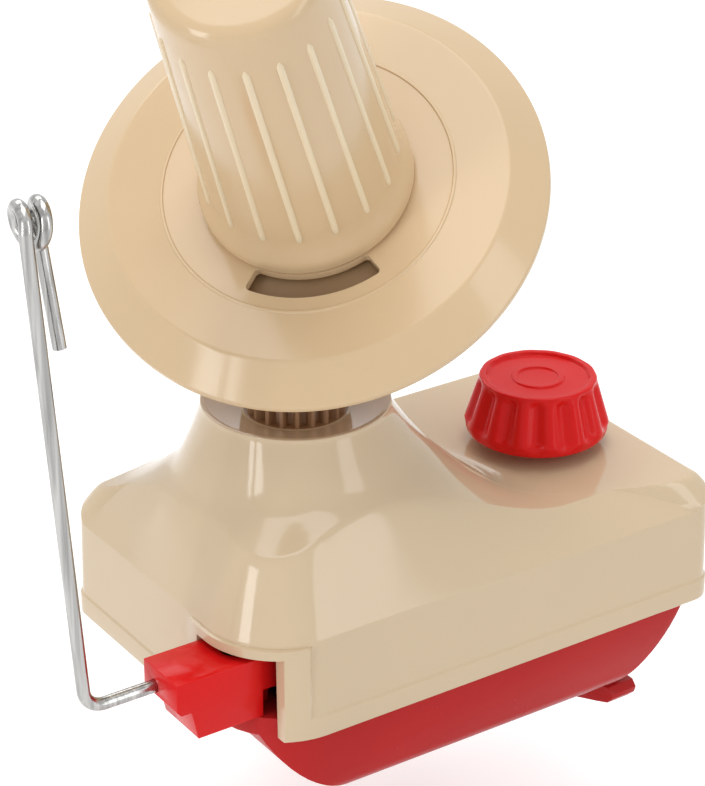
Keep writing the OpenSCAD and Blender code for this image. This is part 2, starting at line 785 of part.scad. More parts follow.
module winding_cone() {
    base = rim_drop;
    // The spigot at the foot centres the cone in the plate
    outer = concat([[spigot_r - cone_wall, -disc_t], [spigot_r, -disc_t], [spigot_r, 0],
        [cone_foot_r - 0.8, 0], [cone_foot_r - 0.25, 0.45], [cone_foot_r, 1.3], [cone_foot_r, 2.8],
        [cone_foot_r - 0.3, 4.6], [cone_foot_r - 0.95, 6.6], [cone_foot_r - 1.6, 8.3],
        [cone_radius(foot_band), foot_band]],
        [for (i = [0 : 5]) let (a = 90 * i / 5)
            [cone_radius(cone_h - cone_round) - cone_round * (1 - cos(a)), cone_h - cone_round * (1 - sin(a))]]);
    inner = [[0, cone_h - cone_wall], [cone_radius(cone_h) - cone_wall - 2, cone_h - cone_wall],
        [cone_radius(cone_h) - cone_wall, cone_h - cone_wall - 2], [cone_radius(8) - cone_wall, 8],
        [spigot_r - cone_wall, 2]];
    color(beige)
        spool_frame()
            difference() {
                union() {
                    translate([0, 0, base]) {
                        rotate_extrude($fn = 96)
                            polygon(concat(outer, [[0, cone_h]], inner));
                        for (i = [0 : rib_count - 1])
                            rotate([0, 0, 360 * (i + 0.5) / rib_count + rib_turn])
                                translate([cone_radius(foot_band), 0, foot_band])
                                    rotate([0, -cone_slope, 0])
                                        translate([-0.8, -rib_w / 2, 0])
                                            cube([0.8 + rib_h, rib_w, cone_h - foot_band - 10.3]);
                    }
                    for (i = [0 : boss_count - 1])
                        rotate([0, 0, 60 + 360 * i / boss_count])
                            translate([cone_boss_place, 0, base - disc_t])
                                rotate([0, 0, 170])
                                    cylinder(h = 14, r = cone_boss_r);
                }
                for (i = [0 : boss_count - 1])
                    rotate([0, 0, 60 + 360 * i / boss_count])
                        translate([cone_boss_place, 0, base - disc_t - 1])
                            cylinder(h = 12, r = 1.3);
            }
}

hub_r = 31;
hub_t = 2;
hub_low = rim_s - slab_top_s + 0.2;
tube_end = rim_s - slab_bottom_s - 7;

module spool_hub() {
    color(cream)
        spool_frame()
            difference() {
                union() {
                    translate([0, 0, hub_step - hub_t])
                        cylinder(h = hub_t, r = hub_r, $fn = 96);
                    translate([0, 0, hub_step - 0.1])
                        cylinder(h = rim_drop - disc_t - hub_step + 0.1, r = spigot_r + 1, $fn = 96);
                    translate([0, 0, hub_low])
                        cylinder(h = hub_step - hub_low, r = gear_hub_r);
                    translate([0, 0, tube_end])
                        cylinder(h = hub_low - tube_end + 1, r = tube_r);
                }
                translate([0, 0, tube_end - 1])
                    cylinder(h = 16, r = 2);
                for (i = [0 : boss_count - 1])
                    rotate([0, 0, 60 + 360 * i / boss_count])
                        translate([cone_boss_place, 0, -5])
                            cylinder(h = 20, r = 1.5);
            }
}

gear_face = 4;

module spool_gear() {
    top_s = spool_s - gear_face / 2;
    color(brown)
        difference() {
            union() {
                translate([0, 0, apex_z])
                    rotate([0, tilt, lean_az])
                        rotate([0, 0, 180 / spool_teeth])
                            bevel_teeth(spool_teeth, spool_pitch, bevel_module, spool_s, top_s,
                                top_s + gear_face);
                on_spool_axis(top_s + 0.5)
                    cylinder(h = top_s + 0.5 - slab_bottom_s - 0.2, r = gear_hub_r);
            }
            on_spool_axis(spool_s + 10)
                cylinder(h = 30, r = 2.2);
            on_spool_axis(rim_s - tube_end)
                cylinder(h = 30, r = tube_r);
        }
}

module spool_gear_screw() {
    head_s = spool_s + gear_face / 2;
    color(steel)
        difference() {
            union() {
                on_spool_axis(head_s + 2.4)
                    cylinder(h = 2.4, r = 4.5);
                on_spool_axis(head_s + 0.5)
                    cylinder(h = 12, r = 2);
            }
            on_spool_axis(head_s + 4)
                translate([-0.5, -6, 0])
                    cube([1, 12, 2.6]);
        }
}

module cone_screws() {
    color(steel)
        spool_frame()
            for (i = [0 : boss_count - 1])
                rotate([0, 0, 60 + 360 * i / boss_count])
                    translate([cone_boss_place, 0, hub_step - hub_t]) {
                        cylinder(h = 13, r = 1.3);
                        translate([0, 0, -2])
                            cylinder(h = 2, r = 2.8);
                    }
}

// Crank
crank_out_y = crank_face + bush_flange_t + seat_gap;
crank_arm_t = 6;
crown_hub_len = 6;
crown_root = pinion_teeth * drive_module / 2 + 1.25 * drive_module;
crown_tip = pinion_teeth * drive_module / 2 - 0.8 * drive_module;
crown_disc_t = 3;
crown_face = 4.4;
crown_out_r = crown_teeth * drive_module / 2 + crown_face / 2 + 0.3;

module on_crank_axis(y) {
    translate([0, y, crank_z])
        rotate([-90, 0, 0])
            children();
}

module crank_shaft() {
    color(steel)
        on_crank_axis(crown_root - 1)
            cylinder(h = crank_out_y + crank_arm_t - crown_root + 1, r = crank_r);
}

module crown_gear() {
    r = crown_teeth * drive_module / 2;
    half = 3.1416 * drive_module * tooth_share / 2;
    rise = crown_root - crown_tip;
    low = half + flank * 1.2 * drive_module;
    high = half - flank * 0.8 * drive_module;
    color(cream)
        difference() {
            union() {
                on_crank_axis(crown_root)
                    cylinder(h = crown_disc_t, r = crown_out_r, $fn = 96);
                on_crank_axis(crown_root)
                    cylinder(h = crown_disc_t + crown_hub_len, r = crank_r + 3);
                for (i = [0 : crown_teeth - 1])
                    translate([0, crown_root, crank_z])
                        rotate([0, 360 * (i + 0.5) / crown_teeth, 0])
                            translate([0, 0, r - crown_face / 2])
                                linear_extrude(height = crown_face)
                                    polygon([[-low, 0.2], [low, 0.2], [high, -rise], [-high, -rise]]);
            }
            on_crank_axis(crown_root - 2)
                cylinder(h = 20, r = crank_r);
            // Lightening holes in the web
            for (i = [0 : 5])
                translate([0, 0, crank_z])
                    rotate([0, 60 * i + 30, 0])
                        translate([0, crown_root - 1, 14])
                            rotate([-90, 0, 0])
                                cylinder(h = 6, r = 4);
        }
}

// Frame of the crank arm: origin on the crank axis, +X along the arm
module crank_frame() {
    translate([0, crank_out_y, crank_z])
        rotate([0, crank_rest, 0])
            children();
}

hub_end_r = 9;
arm_end_r = 7;
pin_r = 2.5;
pin_head = 2;

module crank_arm() {
    color(beige)
        crank_frame()
            difference() {
                union() {
                    rotate([-90, 0, 0]) {
                        cylinder(h = crank_arm_t + 2, r = hub_end_r);
                        translate([crank_len, 0, 0])
                            cylinder(h = crank_arm_t, r = arm_end_r);
                        linear_extrude(height = crank_arm_t)
                            polygon([[0, -hub_end_r + 1], [crank_len, -arm_end_r + 1.5],
                                [crank_len, arm_end_r - 1.5], [0, hub_end_r - 1]]);
                    }
                }
                rotate([-90, 0, 0]) {
                    translate([0, 0, -1])
                        cylinder(h = crank_arm_t + 1, r = crank_r);
                    cylinder(h = 20, r = 1.7);
                    translate([crank_len, 0, -1])
                        cylinder(h = 20, r = pin_r);
                    // Recess along the arm
                    translate([hub_end_r + 3, -2.6, crank_arm_t - 1.6])
                        cube([crank_len - hub_end_r - arm_end_r - 6, 5.2, 3]);
                }
            }
}

module arm_screw() {
    color(steel)
        crank_frame()
            rotate([-90, 0, 0])
                difference() {
                    union() {
                        translate([0, 0, crank_arm_t])
                            cylinder(h = 2, r = 1.7);
                        translate([0, 0, crank_arm_t + 2])
                            cylinder(h = 2.2, r = 3.6);
                    }
                    translate([-5, -0.5, crank_arm_t + 3.2])
                        cube([10, 1, 2]);
                }
}

module grip_pin() {
    color(steel)
        crank_frame()
            translate([crank_len, 0, 0])
                rotate([-90, 0, 0]) {
                    cylinder(h = crank_arm_t + seat_gap + grip_len + seat_gap, r = pin_r);
                    translate([0, 0, crank_arm_t + 2 * seat_gap + grip_len])
                        cylinder(h = pin_head, r = pin_r + 2.3);
                }
}

module crank_grip() {
    l = grip_len;
    color(red)
        crank_frame()
            translate([crank_len, crank_arm_t + seat_gap, 0])
                rotate([-90, 0, 0])
                    rotate_extrude($fn = 48)
                        polygon(concat([[pin_r + run_gap, 0], [grip_r - 2.6, 0], [grip_r - 1.8, 0.5]],
                            [for (i = [1 : 9]) let (t = i / 10)
                                [grip_r - 1.8 + 1.8 * sin(160 * t), 0.5 + (l - 1) * t]],
                            [[grip_r - 1.8, l - 0.5], [grip_r - 2.8, l], [pin_r + run_gap, l]]));
}

// Clamp
jaw_top = -4.6;
jaw_root = jaw_top - 8.4;
jaw_taper = 9.1;
knob_z = platform_z + washer_t + 2;
bolt_tip = jaw_root - jaw_travel + 1;

module clamp_knob() {
    slant = atan((knob_r - knob_top_r) / (knob_h - 3));
    color(red)
        translate([clamp_x, 0, knob_z])
            difference() {
                union() {
                    rotate_extrude($fn = 96)
                        polygon([[0, 1.6], [bolt_r + 4, 1.6], [knob_r - 4, 0.8], [knob_r - 3, 0],
                            [knob_r - 1.6, 0], [knob_r - 0.4, 0.9], [knob_r, 2.4],
                            [knob_top_r + 0.1, knob_h - 1], [knob_top_r - 0.8, knob_h],
                            [knob_top_r - 1.6, knob_h], [knob_top_r - 2.1, knob_h - 0.7],
                            [6.3, knob_h - 0.7], [6, knob_h - 0.4], [5.4, knob_h - 0.4], [5.1, knob_h - 0.7],
                            [0, knob_h - 0.7]]);
                    translate([0, 0, -1.9])
                        cylinder(h = 4, r = bolt_r + 3.2);
                }
                for (i = [0 : flute_count - 1])
                    rotate([0, 0, 360 * i / flute_count])
                        translate([knob_r + 1.5, 0, 2.4])
                            rotate([0, -slant, 0])
                                cylinder(h = knob_h + 4, r = 2.5, $fn = 24);
                translate([0, 0, -3])
                    cylinder(h = knob_h - 2, r = bolt_r);
            }
}

module clamp_bolt() {
    color(steel)
        translate([clamp_x, 0, bolt_tip]) {
            translate([0, 0, 0.8])
                cylinder(h = knob_z + knob_h - 5 - bolt_tip - 0.8, r = bolt_r);
            cylinder(h = 0.8, r1 = bolt_r - 0.8, r2 = bolt_r);
        }
}

nut_af = 10;
nut_t = 5;
pad_t = 1.2;
pad_in = 0.8;
nut_gap = 0.1;

module clamp_jaw() {
    nose = jaw_top - jaw_nose_t;
    color(red)
        difference() {
            union() {
                // Side view of the foot, thicker towards the bolt, with a rounded nose
                intersection() {
                    translate([clamp_x - jaw_w / 2, 0, 0])
                        rotate([90, 0, 90])
                            linear_extrude(height = jaw_w)
                                polygon([[-jaw_reach + 1.5, jaw_top], [post_y0 + post_t, jaw_top],
                                    [post_y0 + post_t, jaw_root], [-8, jaw_root], [-jaw_reach + 4, nose],
                                    [-jaw_reach + 1.2, nose + 0.6], [-jaw_reach, nose + 2],
                                    [-jaw_reach, jaw_top - 1.5]]);
                    jaw_section();
                    translate([0, 0, jaw_root - 1])
                        linear_extrude(height = jaw_top - jaw_root + 2)
                            jaw_plan(0, -jaw_reach - 0.1, post_y0 + post_t + 0.1);
                }
                translate([clamp_x - post_w / 2, post_y0, jaw_root])
                    cube([post_w, post_t, post_top - jaw_root]);
            }
            translate([clamp_x, 0, jaw_root - 1])
                cylinder(h = 20, r = bolt_hole_r);
            translate([clamp_x, 0, jaw_root - 1])
                cylinder(h = nut_t + 1, r = nut_af / 2 / cos(30) + nut_gap, $fn = 6);
            translate([0, 0, jaw_top - pad_in])
                linear_extrude(height = 3)
                    jaw_plan(1.9, -jaw_reach + 2.9, -4.9);
        }
}

// The foot from above, drawn in by d, between two places along it: it narrows towards the nose
function jaw_side(y) = clamp_x - jaw_w / 2 + jaw_taper * max(0, -8 - y) / (jaw_reach - 8);
module jaw_plan(d, y0, y1) {
    right = clamp_x + jaw_w / 2 - d;
    polygon([[jaw_side(y0) + d, y0], [right, y0], [right, y1], [jaw_side(y1) + d, y1],
        [jaw_side(-8) + d, min(-8, y1 - 0.1)]]);
}

// End view of the foot with rounded lower corners
module jaw_section() {
    r = 4;
    translate([clamp_x, post_y0 + post_t + 1, 0])
        rotate([90, 0, 0])
            linear_extrude(height = jaw_reach + post_y0 + post_t + 2) {
                translate([-jaw_w / 2, jaw_top - jaw_nose_t + r])
                    square([jaw_w, jaw_nose_t - r + 1]);
                translate([-jaw_w / 2 + r, jaw_root])
                    square([jaw_w - 2 * r, jaw_top - jaw_root]);
                for (side = [-1, 1])
                    translate([side * (jaw_w / 2 - r), jaw_top - jaw_nose_t + r])
                        circle(r = r);
            }
}

module jaw_nut() {
    color(steel)
        translate([clamp_x, 0, jaw_root])
            difference() {
                cylinder(h = nut_t, r = nut_af / 2 / cos(30), $fn = 6);
                translate([0, 0, -1])
                    cylinder(h = nut_t + 2, r = bolt_r + run_gap);
            }
}

module jaw_pad() {
    color(dark)
        translate([0, 0, jaw_top - pad_in])
            linear_extrude(height = pad_in + 0.2)
                jaw_plan(2, -jaw_reach + 3, -5);
}

// Yarn guide
block_x0 = x_tower - block_out;
wire_z = cover_z + 15.3;
wire_y = pivot_y + 2.6;
tip_z = cover_z + 12;

module guide_block() {
    y0 = pivot_y - block_w / 2;
    color(red)
        difference() {
            // Side view: tip, step and body
            translate([0, y0 + block_w, 0])
                rotate([90, 0, 0])
                    linear_extrude(height = block_w)
                        polygon([[block_x0, tip_z + 1.2], [block_x0 + 1, tip_z], [block_x0 + 3.6, tip_z],
                            [block_x0 + 5.2, block_z0], [pivot_x + block_in, block_z0],
                            [pivot_x + block_in, block_z1], [block_x0, block_z1]]);
            translate([pivot_x, pivot_y, block_z0 - 1])
                cylinder(h = 30, r = guide_screw_r + run_gap);
            translate([pivot_x, pivot_y, block_z1 - 3.7])
                cylinder(h = 10, r = guide_screw_r + 2.4);
            translate([block_x0 - 1, wire_y, wire_z])
                rotate([0, 90, 0])
                    cylinder(h = 12, r = wire_r);
            // Recess at the inner end of the near face
            translate([pivot_x + guide_screw_r + 0.4, y0 - 1, block_z0 - 1])
                cube([block_in, block_w / 2 - 1, 7.7]);
        }
}

bend_r = 5;
bend_steps = 5;
eye_steps = 30;
wire_sides = 10;
bend_x = block_x0 - stub_len;
eye_turns = 1.5;

// Centre line: stub, bend, leaning stem, eye and free tail
stem_dir = [-sin(stem_lean), 0, cos(stem_lean)];
bend_centre = [bend_x + bend_r, wire_y, wire_z + bend_r];
stem_start = bend_centre + bend_r * [-cos(stem_lean), 0, -sin(stem_lean)];
stem_end = stem_start + stem_dir * (stem_h - bend_r);
eye_centre = stem_end + [0, eye_r, 0];
tail_start = eye_centre + [eye_pitch * eye_turns, eye_r, 0];
tail_dir = [0.07, -0.14, -1];
wire_path = concat(
    [[block_x0 + 10, wire_y, wire_z], [block_x0 - 1, wire_y, wire_z]],
    [for (i = [0 : bend_steps]) let (a = 270 - (90 - stem_lean) * i / bend_steps)
        bend_centre + bend_r * [cos(a), 0, sin(a)]],
    [for (i = [0 : eye_steps]) let (t = i / eye_steps, a = 180 - 360 * eye_turns * t)
        eye_centre + [eye_pitch * eye_turns * t, eye_r * cos(a), eye_r * sin(a)]],
    [tail_start + 5 * tail_dir, tail_start + tail_len * tail_dir / norm(tail_dir)]);

function unit(v) = v / norm(v);
function tangent(path, i) = unit(path[min(i + 1, len(path) - 1)] - path[max(i - 1, 0)]);

// Tube of radius r swept along a path, with its sides kept from twisting
module swept_tube(path, r, sides) {
    n = len(path);
    frames = [for (i = 0, t = tangent(path, 0), u = [0, 1, 0]; i < n;
        i = i + 1, t = i < n ? tangent(path, i) : t, u = unit(u - (u * t) * t)) [u, cross(t, u)]];
    points = [for (i = [0 : n - 1]) for (j = [0 : sides - 1]) let (a = 360 * j / sides)
        path[i] + r * (cos(a) * frames[i][0] + sin(a) * frames[i][1])];
    faces = concat(
        [[for (j = [0 : sides - 1]) j]],
        [for (i = [0 : n - 2]) for (j = [0 : sides - 1]) let (a = i * sides + j,
            b = i * sides + (j + 1) % sides)
            each [[a, a + sides, b + sides], [a, b + sides, b]]],
        [[for (j = [0 : sides - 1]) (n - 1) * sides + sides - 1 - j]]);
    polyhedron(points = points, faces = faces);
}

module guide_wire() {
    color(steel)
        swept_tube(wire_path, wire_r, wire_sides);
}

top_cover();
base_tub();
sun_gear();
floor_bush();
crank_bush();
case_screws();
clamp_washer();
guide_screw();
main_shaft();
drive_pinion();
rotor_arm();
rotor_screw();
flange_disc();
winding_cone();
spool_hub();
spool_gear();
spool_gear_screw();
cone_screws();
crank_shaft();
crown_gear();
crank_arm();
arm_screw();
grip_pin();
crank_grip();
clamp_knob();
clamp_bolt();
clamp_jaw();
jaw_nut();
jaw_pad();
guide_block();
guide_wire();
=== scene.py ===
"""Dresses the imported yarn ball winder: smooth mouldings, finishes, studio and camera.

Where nothing else is said, lengths are in millimetres, a class's angles in degrees and a
function's in radians.
"""

import json
import logging
import math
from dataclasses import dataclass, field
from enum import Enum
from functools import reduce
from typing import List, Optional, Sequence, Tuple

import bmesh
import bpy
from mathutils import Matrix, Vector

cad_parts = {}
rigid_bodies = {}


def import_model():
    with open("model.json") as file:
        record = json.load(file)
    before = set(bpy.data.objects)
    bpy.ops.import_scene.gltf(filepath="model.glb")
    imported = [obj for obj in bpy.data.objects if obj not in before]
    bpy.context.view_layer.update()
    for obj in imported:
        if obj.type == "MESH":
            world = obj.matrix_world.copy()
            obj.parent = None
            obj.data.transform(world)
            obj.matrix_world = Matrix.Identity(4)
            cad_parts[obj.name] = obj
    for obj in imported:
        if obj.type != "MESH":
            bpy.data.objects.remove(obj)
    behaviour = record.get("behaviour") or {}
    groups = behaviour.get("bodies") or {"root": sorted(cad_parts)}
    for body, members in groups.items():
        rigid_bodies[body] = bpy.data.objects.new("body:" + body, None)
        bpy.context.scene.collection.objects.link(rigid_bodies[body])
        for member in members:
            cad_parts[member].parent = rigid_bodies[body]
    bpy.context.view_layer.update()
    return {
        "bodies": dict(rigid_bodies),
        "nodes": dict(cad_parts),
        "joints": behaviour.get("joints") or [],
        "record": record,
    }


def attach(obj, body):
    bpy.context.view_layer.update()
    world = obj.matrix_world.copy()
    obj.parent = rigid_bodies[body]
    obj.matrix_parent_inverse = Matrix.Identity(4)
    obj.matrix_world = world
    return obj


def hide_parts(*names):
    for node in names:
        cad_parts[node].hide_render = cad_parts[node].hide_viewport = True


log = logging.getLogger("winder")

MM = 0.001
Point = Tuple[float, float, float]
Point2 = Tuple[float, float]
Socket = bpy.types.NodeSocket
Item = bpy.types.Object
Rows = Tuple[Tuple[str, str, str, float], ...]


# ---- numbers and meshes ----


class Origin(Enum):
    """Where a piece's mesh comes from."""

    DRAWN = "drawn"
    FRAME = "frame"


def mix(a: float, b: float, s: float) -> float:
    """The number at the share s of the way from a to b."""
    return a + (b - a) * s


def limit(t: float) -> float:
    """The number, kept between 0 and 1."""
    return min(max(t, 0.0), 1.0)


def between(a: Point, b: Point, s: float, third: float) -> Point:
    """The place in plan at the share s of the way from a to b, with its own third number."""
    return (mix(a[0], b[0], s), mix(a[1], b[1], s), third)


def polar(r: float, angle: float, *height: float) -> Tuple[float, ...]:
    """The point at a radius and an angle, with its height if one is given."""
    return (r * math.cos(angle), r * math.sin(angle), *height)


def at(x: float, y: float, z: float) -> Matrix:
    """The move by x, y and z millimetres."""
    return Matrix.Translation(Vector((x, y, z)) * MM)


def link(name: str, data: bpy.types.ID) -> Item:
    """Make an object in the scene.

    Args:
        name: The object's name.
        data: Its mesh, camera or lamp.

    Returns:
        The linked object.
    """
    obj = bpy.data.objects.new(name, data)
    bpy.context.scene.collection.objects.link(obj)
    return obj


def new_object(name: str, verts: Sequence[Point], faces: Sequence[Sequence[int]],
               edges: Sequence[Sequence[int]] = ()) -> Item:
    """Make a mesh object from millimetres.

    Args:
        name: The object's name.
        verts: Its points.
        faces: Lists of point numbers.
        edges: Pairs of point numbers, for a line.

    Returns:
        The linked object, in metres.
    """
    mesh = bpy.data.meshes.new(name)
    mesh.from_pydata([tuple(c * MM for c in v) for v in verts], edges, [tuple(f) for f in faces])
    mesh.update()
    return link(name, mesh)


def clean(obj: Item, doubles: float = 1e-7, flat: float = 0.0) -> Item:
    """Merge doubles, then join flat faces or turn all faces outwards.

    Args:
        obj: A closed mesh object.
        doubles: Points closer than this are merged, in metres.
        flat: Faces that meet within this angle, in degrees, are joined; if zero, faces turn outwards.

    Returns:
        The object.
    """
    work = bmesh.new()
    work.from_mesh(obj.data)
    bmesh.ops.remove_doubles(work, verts=work.verts, dist=doubles)
    if flat > 0:
        bmesh.ops.dissolve_limit(work, angle_limit=math.radians(flat), verts=work.verts, edges=work.edges)
    else:
        bmesh.ops.recalc_face_normals(work, faces=work.faces)
    work.to_mesh(obj.data)
    work.free()
    return obj


def soften(obj: Item, degrees: float) -> Item:
    """Shade a mesh smooth.

    Args:
        obj: The mesh object.
        degrees: Edges above this angle stay sharp.

    Returns:
        The object.
    """
    obj.data.shade_smooth()
    obj.data.set_sharp_from_angle(angle=math.radians(degrees))
    return obj


def bake(obj: Item) -> Item:
    """Replace a mesh by what its modifiers make of it, and drop them.

    Args:
        obj: The mesh object.

    Returns:
        The object.
    """
    graph = bpy.context.evaluated_depsgraph_get()
    made = bpy.data.meshes.new_from_object(obj.evaluated_get(graph), depsgraph=graph)
    obj.modifiers.clear()
    old, obj.data = obj.data, made
    bpy.data.meshes.remove(old)
    return obj


def place(obj: Item, matrix: Matrix) -> Item:
    """Move the mesh itself, so that the object stays at the origin.

    Args:
        obj: The mesh object.
        matrix: The move, in metres.

    Returns:
        The object.
    """
    obj.data.transform(matrix)
    obj.data.update()
    return obj


def cut(obj: Item, cutter: Item) -> None:
    """Take a cutter away from an object and remove the cutter.

    Args:
        obj: The object that is cut.
        cutter: A closed mesh object.
    """
    mod = obj.modifiers.new("cut", "BOOLEAN")
    mod.operation, mod.solver, mod.object = "DIFFERENCE", "EXACT", cutter
    bake(obj)
    bpy.data.objects.remove(cutter)


def skin(name: str, rings: Sequence[Sequence[Point]]) -> Item:
    """Join a stack of rings into one closed skin, the last ring to the first.

    Args:
        name: The object's name.
        rings: Rings of equally many points; on the axis a ring's points coincide.

    Returns:
        A closed mesh object.
    """
    n, faces = len(rings[0]), []
    for i, low in enumerate(rings):
        j = (i + 1) % len(rings)
        if low[0] == low[1] and rings[j][0] == rings[j][1]:
            continue
        faces += [(i * n + k, i * n + (k + 1) % n, j * n + (k + 1) % n, j * n + k) for k in range(n)]
    return clean(new_object(name, [p for ring in rings for p in ring], faces))


def revolve(name: str, profile: Sequence[Point2], turns: int) -> Item:
    """Turn a closed profile of (radius, height) points round the Z axis in a number of steps."""
    return skin(name, [[polar(r, math.tau * k / turns, z) for k in range(turns)] for r, z in profile])


def prism(name: str, plan: Sequence[Point2], low: float, high: float) -> Item:
    """Make a cutter from its plan.

    Args:
        name: The object's name.
        plan: Its corners in order.
        low: Height of its underside.
        high: Height of its top.

    Returns:
        A closed mesh object.
    """
    n = len(plan)
    faces = [range(n - 1, -1, -1), range(n, 2 * n)]
    faces += [(k, (k + 1) % n, n + (k + 1) % n, n + k) for k in range(n)]
    return clean(new_object(name, [(x, y, z) for z in (low, high) for x, y in plan], faces))


def rounded(points: Sequence[Point], steps: int = 5) -> List[Point2]:
    """Round the corners of a profile.

    Args:
        points: (radius, height, corner radius) of each corner.
        steps: Steps in each rounded corner.

    Returns:
        The profile with its corners rounded, as (radius, height) points.
    """
    out: List[Point2] = []
    for i, (x, y, r) in enumerate(points):
        here = Vector((x, y))
        if r <= 0:
            out.append((x, y))
            continue
        back, ahead = (Vector(points[j % len(points)][:2]) - here for j in (i - 1, i + 1))
        reach = r / max(math.tan(back.angle(ahead) / 2), 1e-3)
        reach = min(reach, back.length * 0.45, ahead.length * 0.45)
        a, b = here + back.normalized() * reach, here + ahead.normalized() * reach
        for t in (k / steps for k in range(steps + 1)):
            p = a * (1 - t) ** 2 + here * 2 * t * (1 - t) + b * t * t
            out.append((p.x, p.y))
    return out


# ---- node trees ----


class Nodes:
    """A node tree under construction; its calls add nodes and set or link their inputs."""

    def __init__(self, tree: bpy.types.NodeTree) -> None:
        """Work on the given tree."""
        self.tree = tree

    def fill(self, node: bpy.types.Node, inputs: dict) -> None:
        """Set or link inputs of a node.

        Args:
            node: The node.
            inputs: A value or an output socket for each input's name or number.
        """
        for key, value in inputs.items():
            if isinstance(value, Socket):
                self.tree.links.new(value, node.inputs[key])
            else:
                node.inputs[key].default_value = value

    def add(self, kind: str, inputs: Optional[dict] = None, **values: object) -> Socket:
        """Add a node.

        Args:
            kind: The node's type.
            inputs: What goes into its inputs.
            values: Its properties.

        Returns:
            Its first output.
        """
        node = self.tree.nodes.new(kind)
        for key, value in values.items():
            setattr(node, key, value)
        self.fill(node, inputs or {})
        return node.outputs[0]

    def calc(self, operation: str, *terms: object) -> Socket:
        """Add a Math node on numbers or sockets and return its output."""
        return self.add("ShaderNodeMath", dict(enumerate(terms)), operation=operation)

    def fold(self, operation: str, *terms: object) -> Socket:
        """Join two or more numbers or sockets by a chain of Math nodes and return its output."""
        return reduce(lambda a, b: self.calc(operation, a, b), terms)

    def seen(self) -> Socket:
        """Nodes that give 1 for camera, glossy and transmission rays and 0 for others."""
        path = self.tree.nodes.new("ShaderNodeLightPath").outputs
        return self.fold("MAXIMUM", *(path["Is %s Ray" % ray] for ray in ("Camera", "Glossy", "Transmission")))

    def product(self, *terms: object) -> Socket:
        """Multiply two or more numbers or sockets and return the product's output."""
        return self.fold("MULTIPLY", *terms)


class Shape(Nodes):
    """A geometry node tree with named sizes."""

    def __init__(self, name: str) -> None:
        """Start an empty tree with a geometry input and output.

        Args:
            name: The tree's name.
        """
        super().__init__(bpy.data.node_groups.new(name, "GeometryNodeTree"))
        for way in ("INPUT", "OUTPUT"):
            self.tree.interface.new_socket("Geometry", in_out=way, socket_type="NodeSocketGeometry")
        self.source = self.tree.nodes.new("NodeGroupInput").outputs
        self.identifiers: dict = {}

    def sizes(self, *names: str, kind: str = "NodeSocketFloat") -> List[Socket]:
        """Add named inputs.

        Args:
            names: Their names.
            kind: Their socket type.

        Returns:
            Their sockets inside the tree.
        """
        for name in names:
            item = self.tree.interface.new_socket(name, in_out="INPUT", socket_type=kind)
            self.identifiers[name] = item.identifier
        return [self.source[name] for name in names]

    def sweep(self, line: Socket, radius: object, sides: object, scale: object = 1.0) -> Socket:
        """Sweep a round section along a line, with closed ends.

        Args:
            line: The curve that is followed.
            radius: Radius of the section.
            sides: Sides of the section.
            scale: Scale of the section along the line.

        Returns:
            The swept mesh.
        """
        ring = self.add("GeometryNodeCurvePrimitiveCircle", {"Radius": radius, "Resolution": sides})
        return self.add("GeometryNodeCurveToMesh", {"Curve": line, "Profile Curve": ring, "Scale": scale,
                                                    "Fill Caps": True})

    def grow(self, obj: Item, geometry: Socket, finish: "Finish", **values: float) -> Item:
        """Close the tree, run it on an object and keep the plain mesh.

        Args:
            obj: The object that gets the tree as a modifier.
            geometry: What the tree makes.
            finish: The material that it sets.
            values: The sizes, set by their identifiers; an underscore stands for a space.

        Returns:
            The object.
        """
        real = self.add("GeometryNodeRealizeInstances", {"Geometry": geometry})
        paint = self.add("GeometryNodeSetMaterial", {"Geometry": real, "Material": finish.make()})
        self.fill(self.tree.nodes.new("NodeGroupOutput"), {"Geometry": paint})
        mod = obj.modifiers.new(self.tree.name, "NODES")
        mod.node_group = self.tree
        for name, value in values.items():
            mod[self.identifiers[name.replace("_", " ")]] = value
        return bake(obj)


def seed(name: str) -> Item:
    """A point that a tree replaces by what it makes."""
    return new_object(name, [(0, 0, 0)], ())


# ---- finishes ----


class Colour(Enum):
    """Colours of the mouldings and metals, linear."""

    BEIGE = (0.640, 0.498, 0.328)
    WARM_BEIGE = (0.660, 0.482, 0.288)
    RED = (0.700, 0.010, 0.010)
    DEEP_RED = (0.470, 0.016, 0.016)
    # Paler than the beige: a painted highlight that the cone's ribs catch along their crests.
    PALE_PAINTED_HIGHLIGHT = (0.800, 0.660, 0.450)
    CREAM = (0.740, 0.660, 0.520)
    # Darker than the cream of the inner parts: painted shade in the recess that the disc's slots show.
    UMBER_PAINTED_SHADE = (0.300, 0.185, 0.090)
    BRONZE = (0.310, 0.165, 0.078)
    STEEL = (0.560, 0.565, 0.570)
    BRIGHT = (0.400, 0.397, 0.388)
    DARK = (0.030, 0.028, 0.027)


